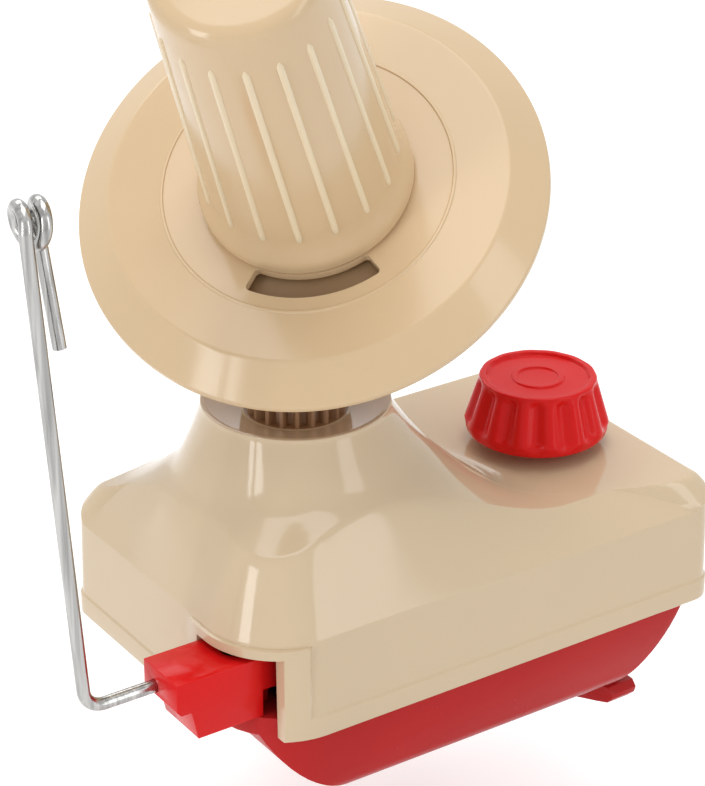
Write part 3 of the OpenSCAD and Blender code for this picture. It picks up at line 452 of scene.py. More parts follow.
@dataclass(frozen=True)
class Finish:
    """A procedural surface: mottled colour, uneven gloss and a fine relief.

    Attributes:
        name: The material's name.
        colour: Its main colour.
        rough: Mean roughness.
        uneven: How far the roughness strays.
        mottle: How far the colour strays, as a share.
        grain: Size of the relief, in grains per metre.
        relief: Depth of the relief, in metres.
        metal: Metallic share.
        specular: Strength of the reflection at the surface.
        cloud: Size of the mottling, in spots per metre, and the noise level where its colour starts.
        stretch: Scale of the coordinates; a small number leaves lines along its axis, as drawn metal has.
    """

    name: str
    colour: Colour
    rough: float = 0.2
    uneven: float = 0.04
    mottle: float = 0.03
    grain: float = 900.0
    relief: float = 0.00001
    metal: float = 0.0
    specular: float = 0.5
    cloud: Point2 = (22.0, 0.3)
    stretch: Point = (1.0, 1.0, 1.0)

    def make(self) -> bpy.types.Material:
        """Build the material once.

        Returns:
            The material with its node tree.
        """
        known = bpy.data.materials.get(self.name)
        if known is not None:
            return known
        mat = bpy.data.materials.new(self.name)
        mat.use_nodes = True
        nodes = Nodes(mat.node_tree)
        coords = nodes.tree.nodes.new("ShaderNodeTexCoord").outputs["Object"]
        lines = nodes.add("ShaderNodeMapping", {"Vector": coords, "Scale": self.stretch})
        smudge = self.noise(nodes, coords, 60.0, 4.0)
        gloss = nodes.add("ShaderNodeMapRange", {
            "Value": smudge, "From Min": 0.3, "From Max": 0.7,
            "To Min": max(self.rough - self.uneven, 0.02), "To Max": self.rough + self.uneven})
        fine = self.noise(nodes, lines, self.grain, 2.0)
        bump = nodes.add("ShaderNodeBump", {"Distance": self.relief, "Height": fine})
        nodes.fill(nodes.tree.nodes["Principled BSDF"], {
            "Base Color": self.mottled(nodes, lines), "Roughness": gloss, "Normal": bump,
            "Metallic": self.metal, "Specular IOR Level": self.specular})
        return mat

    def noise(self, nodes: Nodes, coords: Socket, scale: float, detail: float) -> Socket:
        """A noise texture on the given coordinates."""
        return nodes.add("ShaderNodeTexNoise", {"Vector": coords, "Scale": scale, "Detail": detail,
                                                "Roughness": 0.55})

    def mottled(self, nodes: Nodes, coords: Socket) -> Socket:
        """Add the mottling of the colour.

        Args:
            nodes: The material's tree.
            coords: Coordinates of the mottling.

        Returns:
            The colour.
        """
        scale, start = self.cloud
        node = nodes.add("ShaderNodeValToRGB", {"Fac": self.noise(nodes, coords, scale, 3.0)}).node
        steps = zip(node.color_ramp.elements, (start, 1 - start), (1 - self.mottle, 1 + self.mottle))
        for element, position, share in steps:
            element.position = position
            element.color = (*(min(c * share, 1.0) for c in self.colour.value), 1)
        return node.outputs["Color"]


BEIGE_GLOSS = Finish("beige_gloss", Colour.BEIGE, rough=0.1, uneven=0.02, mottle=0.018, grain=420.0,
                     relief=0.000006)
SPOOL_GLOSS = Finish("spool_gloss", Colour.WARM_BEIGE, rough=0.14, uneven=0.03, mottle=0.02, grain=420.0,
                     relief=0.000006)
# The ribs' paler colour is a painted highlight along their crests.
RIB_PAINTED_HIGHLIGHT = Finish("rib_painted_highlight", Colour.PALE_PAINTED_HIGHLIGHT, grain=420.0, relief=0.000006)
RED_GLOSS = Finish("red_gloss", Colour.RED, mottle=0.04, grain=500.0, relief=0.000008, specular=0.15)
TUB_GLOSS = Finish("tub_gloss", Colour.DEEP_RED, rough=0.24, uneven=0.05, mottle=0.05, grain=500.0,
                   specular=0.15)
CREAM_SATIN = Finish("cream_satin", Colour.CREAM, rough=0.38, uneven=0.06)
# The hub's darker colour is painted shade in the recess under the disc's slots.
HUB_PAINTED_SHADE = Finish("hub_painted_shade", Colour.UMBER_PAINTED_SHADE, rough=0.4, uneven=0.06, mottle=0.08)
GEAR_SATIN = Finish("gear_satin", Colour.BRONZE, rough=0.34, uneven=0.08, mottle=0.18, grain=700.0,
                    relief=0.000015)
PLATED = Finish("plated_steel", Colour.STEEL, rough=0.26, uneven=0.06, mottle=0.06, grain=1600.0,
                relief=0.000006, metal=1.0, cloud=(560.0, 0.35), stretch=(1.0, 1.0, 0.04))
WIRE_STEEL = Finish("wire_steel", Colour.BRIGHT, uneven=0.06, mottle=0.28, grain=2400.0, metal=1.0,
                    cloud=(840.0, 0.35), stretch=(1.0, 1.0, 0.02))
RUBBER = Finish("pad_rubber", Colour.DARK, rough=0.7, uneven=0.1, mottle=0.2, grain=1400.0, relief=0.00004,
                specular=0.3)

SLOT_FINISH = {"cover": BEIGE_GLOSS, "tub": TUB_GLOSS, "red_plastic": RED_GLOSS, "gear": GEAR_SATIN,
               "inner_plastic": CREAM_SATIN, "steel": PLATED, "wire": WIRE_STEEL, "pad": RUBBER}


# ---- sub-assemblies ----


@dataclass
class SubAssembly:
    """A group of pieces on one or more bodies.

    Attributes:
        made: The pieces made so far, with where each came from.
        refined: Body, CAD node, slot and width of the rounds of each refined piece.
    """

    frame: dict
    made: List[Tuple[str, Origin]] = field(default_factory=list)
    refined: Rows = ()

    def seat(self, piece: Item, body: str, slot: str, *nodes: str, origin: Origin = Origin.DRAWN,
             finish: Optional[Finish] = None) -> None:
        """Dress a finished piece, let it ride on its body and hide the CAD nodes that it replaces.

        Args:
            piece: The finished object.
            body: The body that it rides on.
            slot: The record's material slot.
            nodes: The CAD nodes that it stands for.
            origin: Where its mesh comes from.
            finish: Its finish, if it isn't the slot's own.
        """
        piece.data.materials.clear()
        piece.data.materials.append((finish or SLOT_FINISH[slot]).make())
        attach(piece, body)
        if nodes:
            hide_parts(*nodes)
        self.made.append((piece.name, origin))

    def refine(self, node: str, body: str, slot: str, edge: float, finish: Optional[Finish] = None) -> None:
        """Put a smooth copy of a CAD node in its place, with small rounds on its edges.

        Args:
            node: The node that is copied and replaced.
            body: The body that it rides on.
            slot: The record's material slot.
            edge: Width of the rounds; none if zero.
            finish: Its finish, if it isn't the slot's own.
        """
        obj = clean(link(node + "_body", self.frame["nodes"][node].data.copy()), doubles=2e-6, flat=0.8)
        if edge > 0:
            mod = obj.modifiers.new("round", "BEVEL")
            mod.width, mod.segments, mod.use_clamp_overlap = edge * MM, 2, True
            mod.limit_method, mod.angle_limit = "ANGLE", math.radians(32.0)
            bake(obj)
        self.seat(soften(obj, 40.0), body, slot, node, origin=Origin.FRAME, finish=finish)

    def build(self) -> None:
        """Draw the pieces made by hand, then refine the others."""
        self.draw()
        for body, node, slot, edge in self.refined:
            self.refine(node, body, slot, edge)

    def draw(self) -> None:
        """Make the pieces that are drawn by hand, if the sub-assembly has any."""


@dataclass
class Case(SubAssembly):
    """Cover, tub and what is fixed to them, with sizes as in the part's source.

    A point of the case's outline is (x, y, outward angle in degrees). The swells are rows of
    (size, direction, width), the rounds of lip and lower edge rows of (share of the lip's step, height).
    """

    x_tower: float = -38.2
    x_clamp: float = 94.8
    y_side: float = 41.2
    corner_r: float = 6.0
    guide_r: float = 20.0
    base_z: float = 19.0
    near_h: float = 24.5
    far_h: float = 29.5
    near_shoulder: float = 9.0
    far_shoulder: float = 3.0
    platform_h: float = 32.0
    crease: float = 0.28
    crease_x: float = 12.0
    crease_run: float = 25.0
    crease_share: float = 43 / 70  # on a ring of the hump
    foot_h: float = 50.3
    foot_swells: Tuple[Point, ...] = ((1.86, -30.0, 44.0), (-5.5, 146.0, 75.0))
    foot_r: float = 28.5
    hump_reach: float = 45.2
    reach_swells: Tuple[Point, ...] = ((-18.7, 9.4, 41.4), (-24.2, 93.0, 63.8))
    neck_h: float = 62.6
    neck_r: float = 21.9
    neck_round: float = 0.8
    neck_dish: float = 2.2
    bore_r: float = 12.06
    flange_r: float = 16.6
    wall: float = 2.4
    lip_h: float = 5.2
    lip_step: float = 0.5
    hump_steps: int = 70
    hump_count: int = 66
    flare_steps: int = 26
    inner_steps: int = 24
    blend_half: int = 12
    blend_rounds: int = 24
    wall_shares: Tuple[float, ...] = (1.0, 0.985, 0.965, 0.955, *(k / 10 for k in range(9, 0, -1)), 0.03)
    rounds: Tuple[Point2, ...] = ((0.92, 5.62), (0.55, 5.4), (0.12, 5.24), (0.0, 4.9), (0.0, 0.7), (0.12, 0.3),
                                  (0.45, 0.08), (0.9, 0.0))
    draft: float = 0.4
    window_x: float = -28.2
    window_y: float = -17.9
    window_z: float = 40.4
    frame_w: float = 5.8
    frame_h: float = 2.4
    knob_x: float = 70.1
    bolt_hole_r: float = 3.4
    crank_z: float = 29.0
    bush_hole_r: float = 7.05

    refined: Rows = (
        ("case", "base_tub", "tub", 0.4), ("case", "sun_gear", "gear", 0.12),
        ("case", "floor_bush", "inner_plastic", 0.0), ("case", "crank_bush", "inner_plastic", 0.25),
        ("case", "case_screws", "steel", 0.0), ("case", "clamp_washer", "steel", 0.2),
        ("case", "guide_screw", "steel", 0.15))

    def draw(self) -> None:
        """Make the cover by hand."""
        self.seat(self.cover(), "case", "cover", "top_cover")

    def outline(self, inset: float) -> List[Point]:
        """Draw the case in plan.

        Args:
            inset: How far it is drawn in.

        Returns:
            Its points, from the near corner at the clamp's end round to the guide's corner.
        """
        r, rg = max(self.corner_r - inset, 1.2), max(self.guide_r - inset, 2.0)
        x0, x1, y = self.x_tower + inset, self.x_clamp - inset, self.y_side - inset
        # Centre, radius and first angle of each corner, its steps and those of the wall after it
        corners = ((x1 - r, r - y, r, 270, 12, 26), (x1 - r, y - r, r, 0, 12, 44),
                   (x0 + r, y - r, r, 90, 12, 22), (x0 + rg, rg - y, rg, 180, 40, 40))
        arcs = []
        for cx, cy, cr, first, steps, _ in corners:
            turns = [first + 90 * i / steps for i in range(steps + 1)]
            arcs.append([(cx + cr * math.cos(math.radians(a)), cy + cr * math.sin(math.radians(a)), a)
                         for a in turns])
        out: List[Point] = []
        for i, (_, _, _, first, _, steps) in enumerate(corners):
            start, end = arcs[i][-1], arcs[(i + 1) % len(arcs)][0]
            out += arcs[i]
            out += [between(start, end, k / steps, float((first + 90) % 360)) for k in range(1, steps)]
        return out

    @staticmethod
    def far_share(angle: float) -> float:
        """0 for walls at the near and tower sides, 1 for the others."""
        return limit((math.cos(math.radians(angle - 45)) / math.cos(math.radians(45)) + 1) / 2)

    @staticmethod
    def swell(angle: float, rows: Sequence[Point]) -> float:
        """Sum of bell curves over the direction, from rows of (size, direction, width) in degrees."""
        return sum(size * math.exp(-((((angle - centre + 180) % 360 - 180) / width) ** 2))
                   for size, centre, width in rows)

    def foot_height(self, angle: float) -> float:
        """Height of the neck's foot in the given direction, in degrees."""
        return self.foot_h + self.swell(angle, self.foot_swells)

    def wall_top(self, w: Point) -> float:
        """Height of the wall's upper edge at the wall point w."""
        return self.base_z + mix(self.near_h, self.far_h, self.far_share(w[2]))

    def shoulder(self, w: Point, deep: float) -> float:
        """Width of the round shoulder inside the wall point w, drawn in by deep."""
        wide = mix(self.near_shoulder, self.far_shoulder, self.far_share(w[2]))
        return min(wide, 0.85 * (math.hypot(w[0], w[1]) - (self.foot_r - deep)))

    def bend(self, x: float, w: Point) -> float:
        """Share of a quarter turn that the shoulder makes; less than 1 leaves a crease along the platform."""
        t = limit((x - self.crease_x) / self.crease_run)
        return 1 - self.crease * (1 - self.far_share(w[2])) * t * t * (3 - 2 * t)

    def hump(self, w: Point, deep: float, share: float) -> Point:
        """Find a point of the hump; rings are closer near the wall, and one follows the crease.

        Args:
            w: The wall point on its spoke.
            deep: How far the skin is drawn in.
            share: Its share of the way from the neck's foot to the wall.

        Returns:
            The point.
        """
        a, far, out = math.atan2(w[1], w[0]), math.hypot(w[0], w[1]), math.radians(w[2])
        foot, top, wide = self.foot_r - deep, self.wall_top(w), self.shoulder(w, deep)
        bend, kink = self.bend(w[0], w), self.crease_share
        edge = max(far - wide / max(math.cos(a - out), 0.35), mix(foot, far, 0.12))
        creased = (mix(foot, edge, share / kink) if share < kink
                   else mix(edge, far, (share - kink) / (1 - kink)))
        r = mix(mix(foot, far, 1 - (1 - share) ** 1.6), creased, (1 - bend) / self.crease)
        x, y = polar(r, a)
        away = math.degrees(a)
        fall = max(0.0, 1 - (r - foot) / (self.hump_reach + self.swell(away, self.reach_swells)))
        lift = self.base_z + mix(self.platform_h, self.foot_height(away), fall * fall) - top
        quarter = math.pi / 2 * self.bend(x, w)
        round_share = limit(((w[0] - x) * math.cos(out) + (w[1] - y) * math.sin(out)) / wide)
        return (x, y, top - deep + math.sin(quarter * round_share) / math.sin(quarter) * lift)

    def wall_point(self, a: Point, b: Point, inset: float, z: float) -> Point:
        """Find a point of the wall; the raised band round the guide's window isn't drawn in.

        Args:
            a: The outline's point at the lip.
            b: Its point at the wall's upper edge.
            inset: How far the point is drawn in from the lip.
            z: Its height.

        Returns:
            The point.
        """
        if (self.base_z + self.lip_h - 0.2 < z < self.window_z + self.frame_h
                and a[0] < self.window_x + self.frame_w and a[1] < self.window_y + 3):
            inset = 0.0
        return between(a, b, inset / (self.lip_step + self.draft), z)

    def neck_profile(self) -> List[Point2]:
        """Draw the neck's section from the bore's edge over the dish and the rim.

        Returns:
            The section as (radius, height) points.
        """
        top, r = self.base_z + self.neck_h, self.neck_r
        low = top - self.neck_dish
        return rounded([(self.bore_r, low, 0.0), (self.bore_r + 0.75, low, 1.2), (r - 2.0, top - 0.28, 4.0),
                        (r - 1.1, top, 3.0), (r, top, 1.1), (r, top - 0.85, 0.0)], 6)

    def flare(self, w: Point, t: float, deep: float) -> Point:
        """Find a point of the neck's flare.

        Args:
            w: The wall point on its spoke.
            t: Its share of the way from the neck's edge down to the foot.
            deep: How far the skin is drawn in.

        Returns:
            The point.
        """
        a = math.atan2(w[1], w[0])
        z = mix(self.neck_h - self.neck_round, self.foot_height(math.degrees(a)), t)
        return polar(mix(self.neck_r, self.foot_r, t ** 1.25) - deep, a, self.base_z - deep + z)

    def cover(self) -> Item:
        """Make the moulded cover as one closed skin, then its window and holes.

        Returns:
            The finished cover.
        """
        base, lip, step, gap = self.base_z, self.base_z + self.lip_h, self.lip_step, self.wall + 0.1
        outer, face, inside, roof = (self.outline(d) for d in (0.0, step + self.draft, gap, gap + self.draft))
        rings = [[polar(r, math.atan2(w[1], w[0]), z) for w in face] for r, z in self.neck_profile()]
        rings += [[self.flare(w, k / self.flare_steps, 0.0) for w in face] for k in range(1, self.flare_steps)]
        foot = len(rings)
        rings += [[self.hump(w, 0.0, k / self.hump_steps) for w in face] for k in range(self.hump_count)]
        self.blend(rings, foot - self.blend_half, foot + self.blend_half, self.blend_rounds)
        for t in self.wall_shares:
            tops = [self.wall_top(a) for a in outer]
            spokes = [(a, b, top, mix(lip + step, top, t)) for a, b, top in zip(outer, face, tops)]
            rings.append([self.wall_point(a, b, step + self.draft * (z - lip) / (top - lip), z)
                          for a, b, top, z in spokes])
        rings += [[self.wall_point(a, b, share * step, base + up) for a, b in zip(outer, face)]
                  for share, up in self.rounds]
        rings.append([(w[0], w[1], base) for w in inside])
        rings.append([(w[0], w[1], self.wall_top(w) - self.wall) for w in roof])
        rings += [[self.hump(w, self.wall, 1 - (k + 1) / self.inner_steps) for w in roof]
                  for k in range(self.inner_steps)]
        rings += [[self.flare(w, t, self.wall) for w in inside] for t in (0.85, 0.7, 0.55, 0.4, 0.25, 0.1, 0.0)]
        under = base + self.neck_h - self.neck_dish - self.wall
        rings += [[polar(r, math.atan2(w[1], w[0]), under) for w in inside]
                  for r in (self.flange_r, self.bore_r)]
        obj = skin("cover_shell", rings)
        self.openings(obj)
        return soften(obj, 28.0)

    @staticmethod
    def blend(rings: List[List[Point]], first: int, last: int, rounds: int) -> None:
        """Smooth a band of rings along their spokes.

        Args:
            rings: All rings; those of the band are replaced.
            first: The band's first ring.
            last: The ring after the band's last.
            rounds: How many times each point is drawn towards its neighbours.
        """
        for _ in range(rounds):
            old = rings[first - 1:last + 1]
            for i in range(first, last):
                spokes = zip(*old[i - first:i - first + 3])
                rings[i] = [tuple((p + 2 * q + r) / 4 for p, q, r in zip(*spoke)) for spoke in spokes]

    def openings(self, obj: Item) -> None:
        """Cut the guide's window, the clamp's hole and the crank's hole.

        Args:
            obj: The cover.
        """
        x0, x1, y0, y1 = self.x_tower - 5, self.window_x, -self.y_side - 5, self.window_y
        cut(obj, prism("window", [(x0, y0), (x1, y0), (x1, y1), (x0, y1)], self.base_z - 1, self.window_z))
        for r, low, high, sides, matrix in (
                (self.bolt_hole_r, 40, 60, 48, at(self.knob_x, 0, 0)),
                (self.bush_hole_r, 0, 20, 64,
                 at(0, self.y_side - 10, self.crank_z) @ Matrix.Rotation(-math.pi / 2, 4, "X"))):
            cut(obj, place(revolve("hole", [(0, low), (r, low), (r, high), (0, high)], sides), matrix))


@dataclass
class WindingHead(SubAssembly):
    """Shaft, pinion and rotor, which turn about the vertical axis."""

    refined: Rows = (
        ("head", "main_shaft", "steel", 0.2), ("head", "drive_pinion", "inner_plastic", 0.0),
        ("head", "rotor_arm", "red_plastic", 0.4), ("head", "rotor_screw", "steel", 0.2))


@dataclass
class Spool(SubAssembly):
    """Disc, cone and gear on the tilted axis; heights are along that axis."""

    apex_z: float = 143.6
    tilt: float = 38.0
    lean: float = 220.9
    rim_s: float = 24.3
    disc_r: float = 54.0
    plate_r: float = 45.0
    drop: float = 7.9
    disc_t: float = 2.2
    rim_t: float = 1.8
    hole_r: float = 20.85
    band_r: float = 33.3
    band_h: float = 0.28
    slot_r: Point2 = (24.1, 29.8)
    slot_corner: float = 1.2
    slot_angle: float = 62.0
    slot_turn: float = 15.4
    slots: int = 2
    foot_r: float = 24.4
    bulge: float = 2.1
    top_r: float = 18.5
    height: float = 84.0
    cone_wall: float = 2.0
    foot_band: float = 10.0
    ribs: int = 17
    rib_w: float = 1.7
    rib_h: float = 0.62
    rib_turn: float = 3.0
    rib_top: float = 73.6
    refined: Rows = (
        ("spool", "spool_gear", "gear", 0.1), ("spool", "spool_gear_screw", "steel", 0.15),
        ("spool", "cone_screws", "steel", 0.0))

    def matrix(self) -> Matrix:
        """From the spool's own frame, zero at the rim plane, to the row frame, in metres."""
        lean, tilt = (Matrix.Rotation(math.radians(a), 4, b) for a, b in ((self.lean, "Z"), (self.tilt, "Y")))
        return at(0, 0, self.apex_z) @ lean @ tilt @ at(0, 0, -self.rim_s)

    def draw(self) -> None:
        """Make the disc, the cone and its ribs by hand, the ribs paler as a painted highlight along their
        crests, and the hub darker as painted shade in the recess seen through the slots.
        """
        self.seat(self.disc(), "spool", "cover", "flange_disc", finish=SPOOL_GLOSS)
        self.seat(self.cone(), "spool", "cover", "winding_cone", finish=SPOOL_GLOSS)
        self.seat(self.rib_set(), "spool", "cover", finish=RIB_PAINTED_HIGHLIGHT)
        # The hub gets a darker colour that paints the shade seen through the slots.
        self.refine("spool_hub", "spool", "inner_plastic", 0.25, HUB_PAINTED_SHADE)

    def disc(self) -> Item:
        """Make the flanged disc with its thin ring and its curved slots.

        Returns:
            The finished disc.
        """
        top, under, ring, rim = self.drop, self.drop - self.disc_t, self.band_r, self.disc_r
        raised = top + self.band_h
        profile = rounded([
            (self.hole_r, under, 0.15), (self.plate_r - 1, under, 2.0), (rim - 1.5, 0.0, 0.5), (rim, 0.0, 0.9),
            (rim, self.rim_t, 0.9), (self.plate_r + 0.6, top, 2.2), (ring + 0.45, top, 0.15),
            (ring + 0.25, raised, 0.2), (ring - 0.25, raised, 0.2), (ring - 0.45, top, 0.15),
            (self.hole_r, top, 0.25)], 6)
        obj = revolve("disc_body", profile, 256)
        for i in range(self.slots):
            plan = self.slot_plan(math.radians(self.slot_turn) + math.tau * i / self.slots)
            cut(obj, prism("slot_cutter", plan, under - 1, top + 1))
        return place(soften(obj, 30.0), self.matrix())

    def slot_plan(self, centre: float) -> List[Point2]:
        """Draw a curved slot with rounded corners.

        Args:
            centre: The angle of its middle.

        Returns:
            Its outline: the outer side, an end, the inner side and the other end.
        """
        (inner, outer), half, corner = self.slot_r, math.radians(self.slot_angle / 2), self.slot_corner
        out: List[Point2] = []
        for r, other, s in ((outer, inner, 1), (inner, outer, -1)):
            side = half - corner / r
            out += [polar(r, centre + s * mix(-side, side, k / 24)) for k in range(25)]
            for k in range(1, 9):
                turn = math.pi / 10 * min(k, 9 - k)
                at_r, in_or_out = (r, -s) if k < 5 else (other, s)
                a = half - corner / at_r * (1 - math.sin(turn))
                out.append(polar(at_r + in_or_out * corner * (1 - math.cos(turn)), centre + s * a))
        return out

    def radius(self, z: float) -> float:
        """Radius of the cone's skin at the height z above the plate."""
        foot = self.foot_r - self.bulge
        return foot - (z - self.foot_band) * (foot - self.top_r) / (self.height - self.foot_band)

    def cone(self) -> Item:
        """Make the hollow winding cone with its rounded foot and rim.

        Returns:
            The finished cone.
        """
        h, w, spigot = self.height, self.cone_wall, self.hole_r - 0.05
        profile = rounded([
            (spigot - w, -self.disc_t, 0.2), (spigot, -self.disc_t, 0.2), (spigot, 0.0, 0.1),
            (self.foot_r - 0.7, 0.0, 0.5), (self.foot_r, 1.0, 1.6), (self.foot_r, 3.9, 12.0),
            (self.radius(9.3), 9.3, 16.0), (self.radius(h), h, 4.0), (0.0, h, 0.0), (0.0, h - w, 0.0),
            (self.radius(h) - w, h - w, 2.0), (self.radius(8.0) - w, 8.0, 2.0), (spigot - w, 2.0, 0.5)], 8)
        obj = revolve("cone_body", [(r, z + self.drop) for r, z in profile], 192)
        return place(soften(obj, 35.0), self.matrix())

    def rib_set(self) -> Item:
        """Make rounded ribs round the cone, one for each step of the count.

        Returns:
            The ribs, set on the cone.
        """
        tree = Shape("cone_ribs")
        count, = tree.sizes("Count", kind="NodeSocketInt")
        foot, top, low, high, width, first = tree.sizes("Foot radius", "Top radius", "Low", "High", "Width",
                                                        "First angle")
        start = tree.add("ShaderNodeCombineXYZ", {"X": foot, "Z": low})
        end = tree.add("ShaderNodeCombineXYZ", {"X": top, "Z": high})
        line = tree.add("GeometryNodeCurvePrimitiveLine", {"Start": start, "End": end})
        line = tree.add("GeometryNodeResampleCurve", {"Curve": line, "Count": 40})
        along = tree.add("GeometryNodeSplineParameter")
        near = tree.calc("MINIMUM", along, tree.calc("SUBTRACT", 1.0, along))
        back = tree.calc("SUBTRACT", 1.0, tree.calc("MINIMUM", tree.product(near, 30.0), 1.0))
        bow = tree.calc("MAXIMUM", tree.calc("SUBTRACT", 1.0, tree.product(back, back)), 0.002)
        rib = tree.sweep(line, tree.calc("DIVIDE", width, 2.0), 12, tree.calc("SQRT", bow))
        rib = tree.add("GeometryNodeSetShadeSmooth", {"Geometry": rib})
        step = tree.calc("DIVIDE", math.tau, count)
        angle = tree.calc("ADD", tree.product(tree.add("GeometryNodeInputIndex"), step), first)
        copies = tree.add("GeometryNodeInstanceOnPoints", {
            "Points": tree.add("GeometryNodePoints", {"Count": count}), "Instance": rib,
            "Rotation": tree.add("ShaderNodeCombineXYZ", {"Z": angle})})
        sink = self.rib_w / 2 - self.rib_h
        radii = [(self.radius(z) - sink) * MM for z in (self.foot_band, self.rib_top)]
        obj = tree.grow(
            seed("cone_rib_set"), copies, RIB_PAINTED_HIGHLIGHT, Count=self.ribs, Foot_radius=radii[0],
            Top_radius=radii[1], Low=(self.foot_band + self.drop) * MM, High=(self.rib_top + self.drop) * MM,
            Width=self.rib_w * MM, First_angle=math.pi / self.ribs + math.radians(self.rib_turn))
        return place(obj, self.matrix())


@dataclass
class Crank(SubAssembly):
    """Crank with its arm, gear and turning grip, on the far side."""

    refined: Rows = (
        ("crank", "crank_shaft", "steel", 0.3), ("crank", "crown_gear", "inner_plastic", 0.0),
        ("crank", "crank_arm", "cover", 0.6), ("crank", "arm_screw", "steel", 0.2),
        ("crank", "grip_pin", "steel", 0.3), ("grip", "crank_grip", "red_plastic", 0.3))


@dataclass
class TableClamp(SubAssembly):
    """Knob, bolt and jaw that hold the winder on a table."""

    x: float = 70.1
    knob_z: float = 54.2
    knob_r: float = 17.7
    knob_top_r: float = 14.3
    knob_h: float = 14.5
    side_low: float = 2.6
    flutes: int = 14
    flute_deep: float = 1.5
    flute_low: float = 0.9
    flute_rise: float = 3.0
    flute_fall: float = 2.2
    flute_left: float = 0.08
    flute_from: Point2 = (11.2, 12.8)
    bolt_r: float = 3.0
    bolt_low: float = -28.0
    bolt_high: float = 63.7
    pitch: float = 1.0
    thread_h: float = 38.0
    thread_deep: float = 0.36
    refined: Rows = (
        ("jaw", "clamp_jaw", "tub", 0.5), ("jaw", "jaw_nut", "steel", 0.2), ("jaw", "jaw_pad", "pad", 0.2))

    def draw(self) -> None:
        """Make the knob and the threaded bolt by hand."""
        self.seat(self.knob(), "knob", "red_plastic", "clamp_knob")
        self.seat(self.bolt(), "knob", "steel", "clamp_bolt")
        self.seat(self.thread(), "knob", "steel")

    def knob(self) -> Item:
        """Make the knob, a turned body whose side is drawn in by flutes.

        Returns:
            The finished knob.
        """
        r, t, h, pit = self.knob_r, self.knob_top_r, self.knob_h, self.knob_h - 0.9
        side = [(mix(r, t + 0.15, k / 24), mix(self.side_low, h - 1.1, k / 24), 0.0) for k in range(25)]
        profile = rounded([
            (0.0, -1.9, 0.0), (6.2, -1.9, 0.4), (6.6, 1.2, 0.8), (r - 4, 0.8, 0.6), (r - 3, 0.0, 0.5),
            (r - 0.6, 0.0, 1.2), *side, (t, h, 0.9), (t - 1.5, h, 0.5), (t - 2.1, pit, 0.5), (6.6, pit, 0.3),
            (6.2, pit + 0.45, 0.3), (5.2, pit + 0.45, 0.3), (4.8, pit, 0.3), (0.0, pit, 0.0)], 5)
        obj = self.fluted(revolve("knob_body", profile, self.flutes * 20))
        return place(soften(obj, 40.0), at(self.x, 0, self.knob_z))

    def fluted(self, obj: Item) -> Item:
        """Draw the side of a turned body in by evenly spaced flutes.

        Args:
            obj: The body.

        Returns:
            The fluted body.
        """
        tree = Shape("knob_flutes")
        flutes, = tree.sizes("Flutes", kind="NodeSocketInt")
        depth, low, high = tree.sizes("Depth", "Low", "High")
        where = tree.add("GeometryNodeInputPosition")
        x, y, z = tree.add("ShaderNodeSeparateXYZ", {0: where}).node.outputs
        radius = tree.calc("SQRT", tree.calc("ADD", tree.product(x, x), tree.product(y, y)))
        wave = tree.calc("COSINE", tree.product(tree.calc("ARCTAN2", y, x), flutes))
        scoop = tree.calc("POWER", tree.product(tree.calc("ADD", wave, 1.0), 0.5), 1.3)
        rise, fall = (
            tree.add("ShaderNodeMapRange", {"Value": z, "From Min": a, "From Max": b},
                     interpolation_type="SMOOTHSTEP")
            for a, b in ((low, tree.calc("ADD", low, self.flute_rise * MM)),
                         (tree.calc("SUBTRACT", high, self.flute_fall * MM), high)))
        fade = tree.calc("SUBTRACT", 1.0, tree.product(fall, 1 - self.flute_left))
        out = tree.add("ShaderNodeMapRange", {"Value": radius, "From Min": self.flute_from[0] * MM,
                                              "From Max": self.flute_from[1] * MM})
        size = tree.product(scoop, depth, rise, fade, out)
        share = tree.calc("DIVIDE", tree.product(size, -1.0), tree.calc("MAXIMUM", radius, 0.0001))
        inward = tree.add("ShaderNodeCombineXYZ", {"X": tree.product(x, share), "Y": tree.product(y, share)})
        moved = tree.add("GeometryNodeSetPosition", {"Geometry": tree.source["Geometry"], "Offset": inward})
        return tree.grow(obj, moved, RED_GLOSS, Flutes=self.flutes, Depth=self.flute_deep * MM,
                         Low=self.flute_low * MM, High=(self.knob_h - 0.5) * MM)

    def bolt(self) -> Item:
        """Make the bolt's core with its chamfered tip.

        Returns:
            The core; the thread is a piece of its own.
        """
        r, low = self.bolt_r - 0.3, self.bolt_low
        profile = [(0.0, low), (r - 0.7, low), (r, low + 0.8), (r, self.bolt_high), (0.0, self.bolt_high)]
        return place(soften(revolve("bolt_core", profile, 48), 35.0), at(self.x, 0, 0))

    def thread(self) -> Item:
        """Sweep the thread along a helix.

        Returns:
            The thread, set on the bolt.
        """
        tree = Shape("bolt_thread")
        turns, height, radius, depth = tree.sizes("Turns", "Height", "Radius", "Depth")
        helix = tree.add("GeometryNodeCurveSpiral", {"Resolution": 20, "Rotations": turns, "Height": height,
                                                     "Start Radius": radius, "End Radius": radius})
        obj = tree.grow(seed("bolt_thread"), tree.sweep(helix, depth, 4), PLATED,
                        Turns=self.thread_h / self.pitch, Height=self.thread_h * MM,
                        Radius=(self.bolt_r - 0.38) * MM, Depth=self.thread_deep * MM)
        return place(soften(obj, 30.0), at(self.x, 0, self.bolt_low + 1.4))


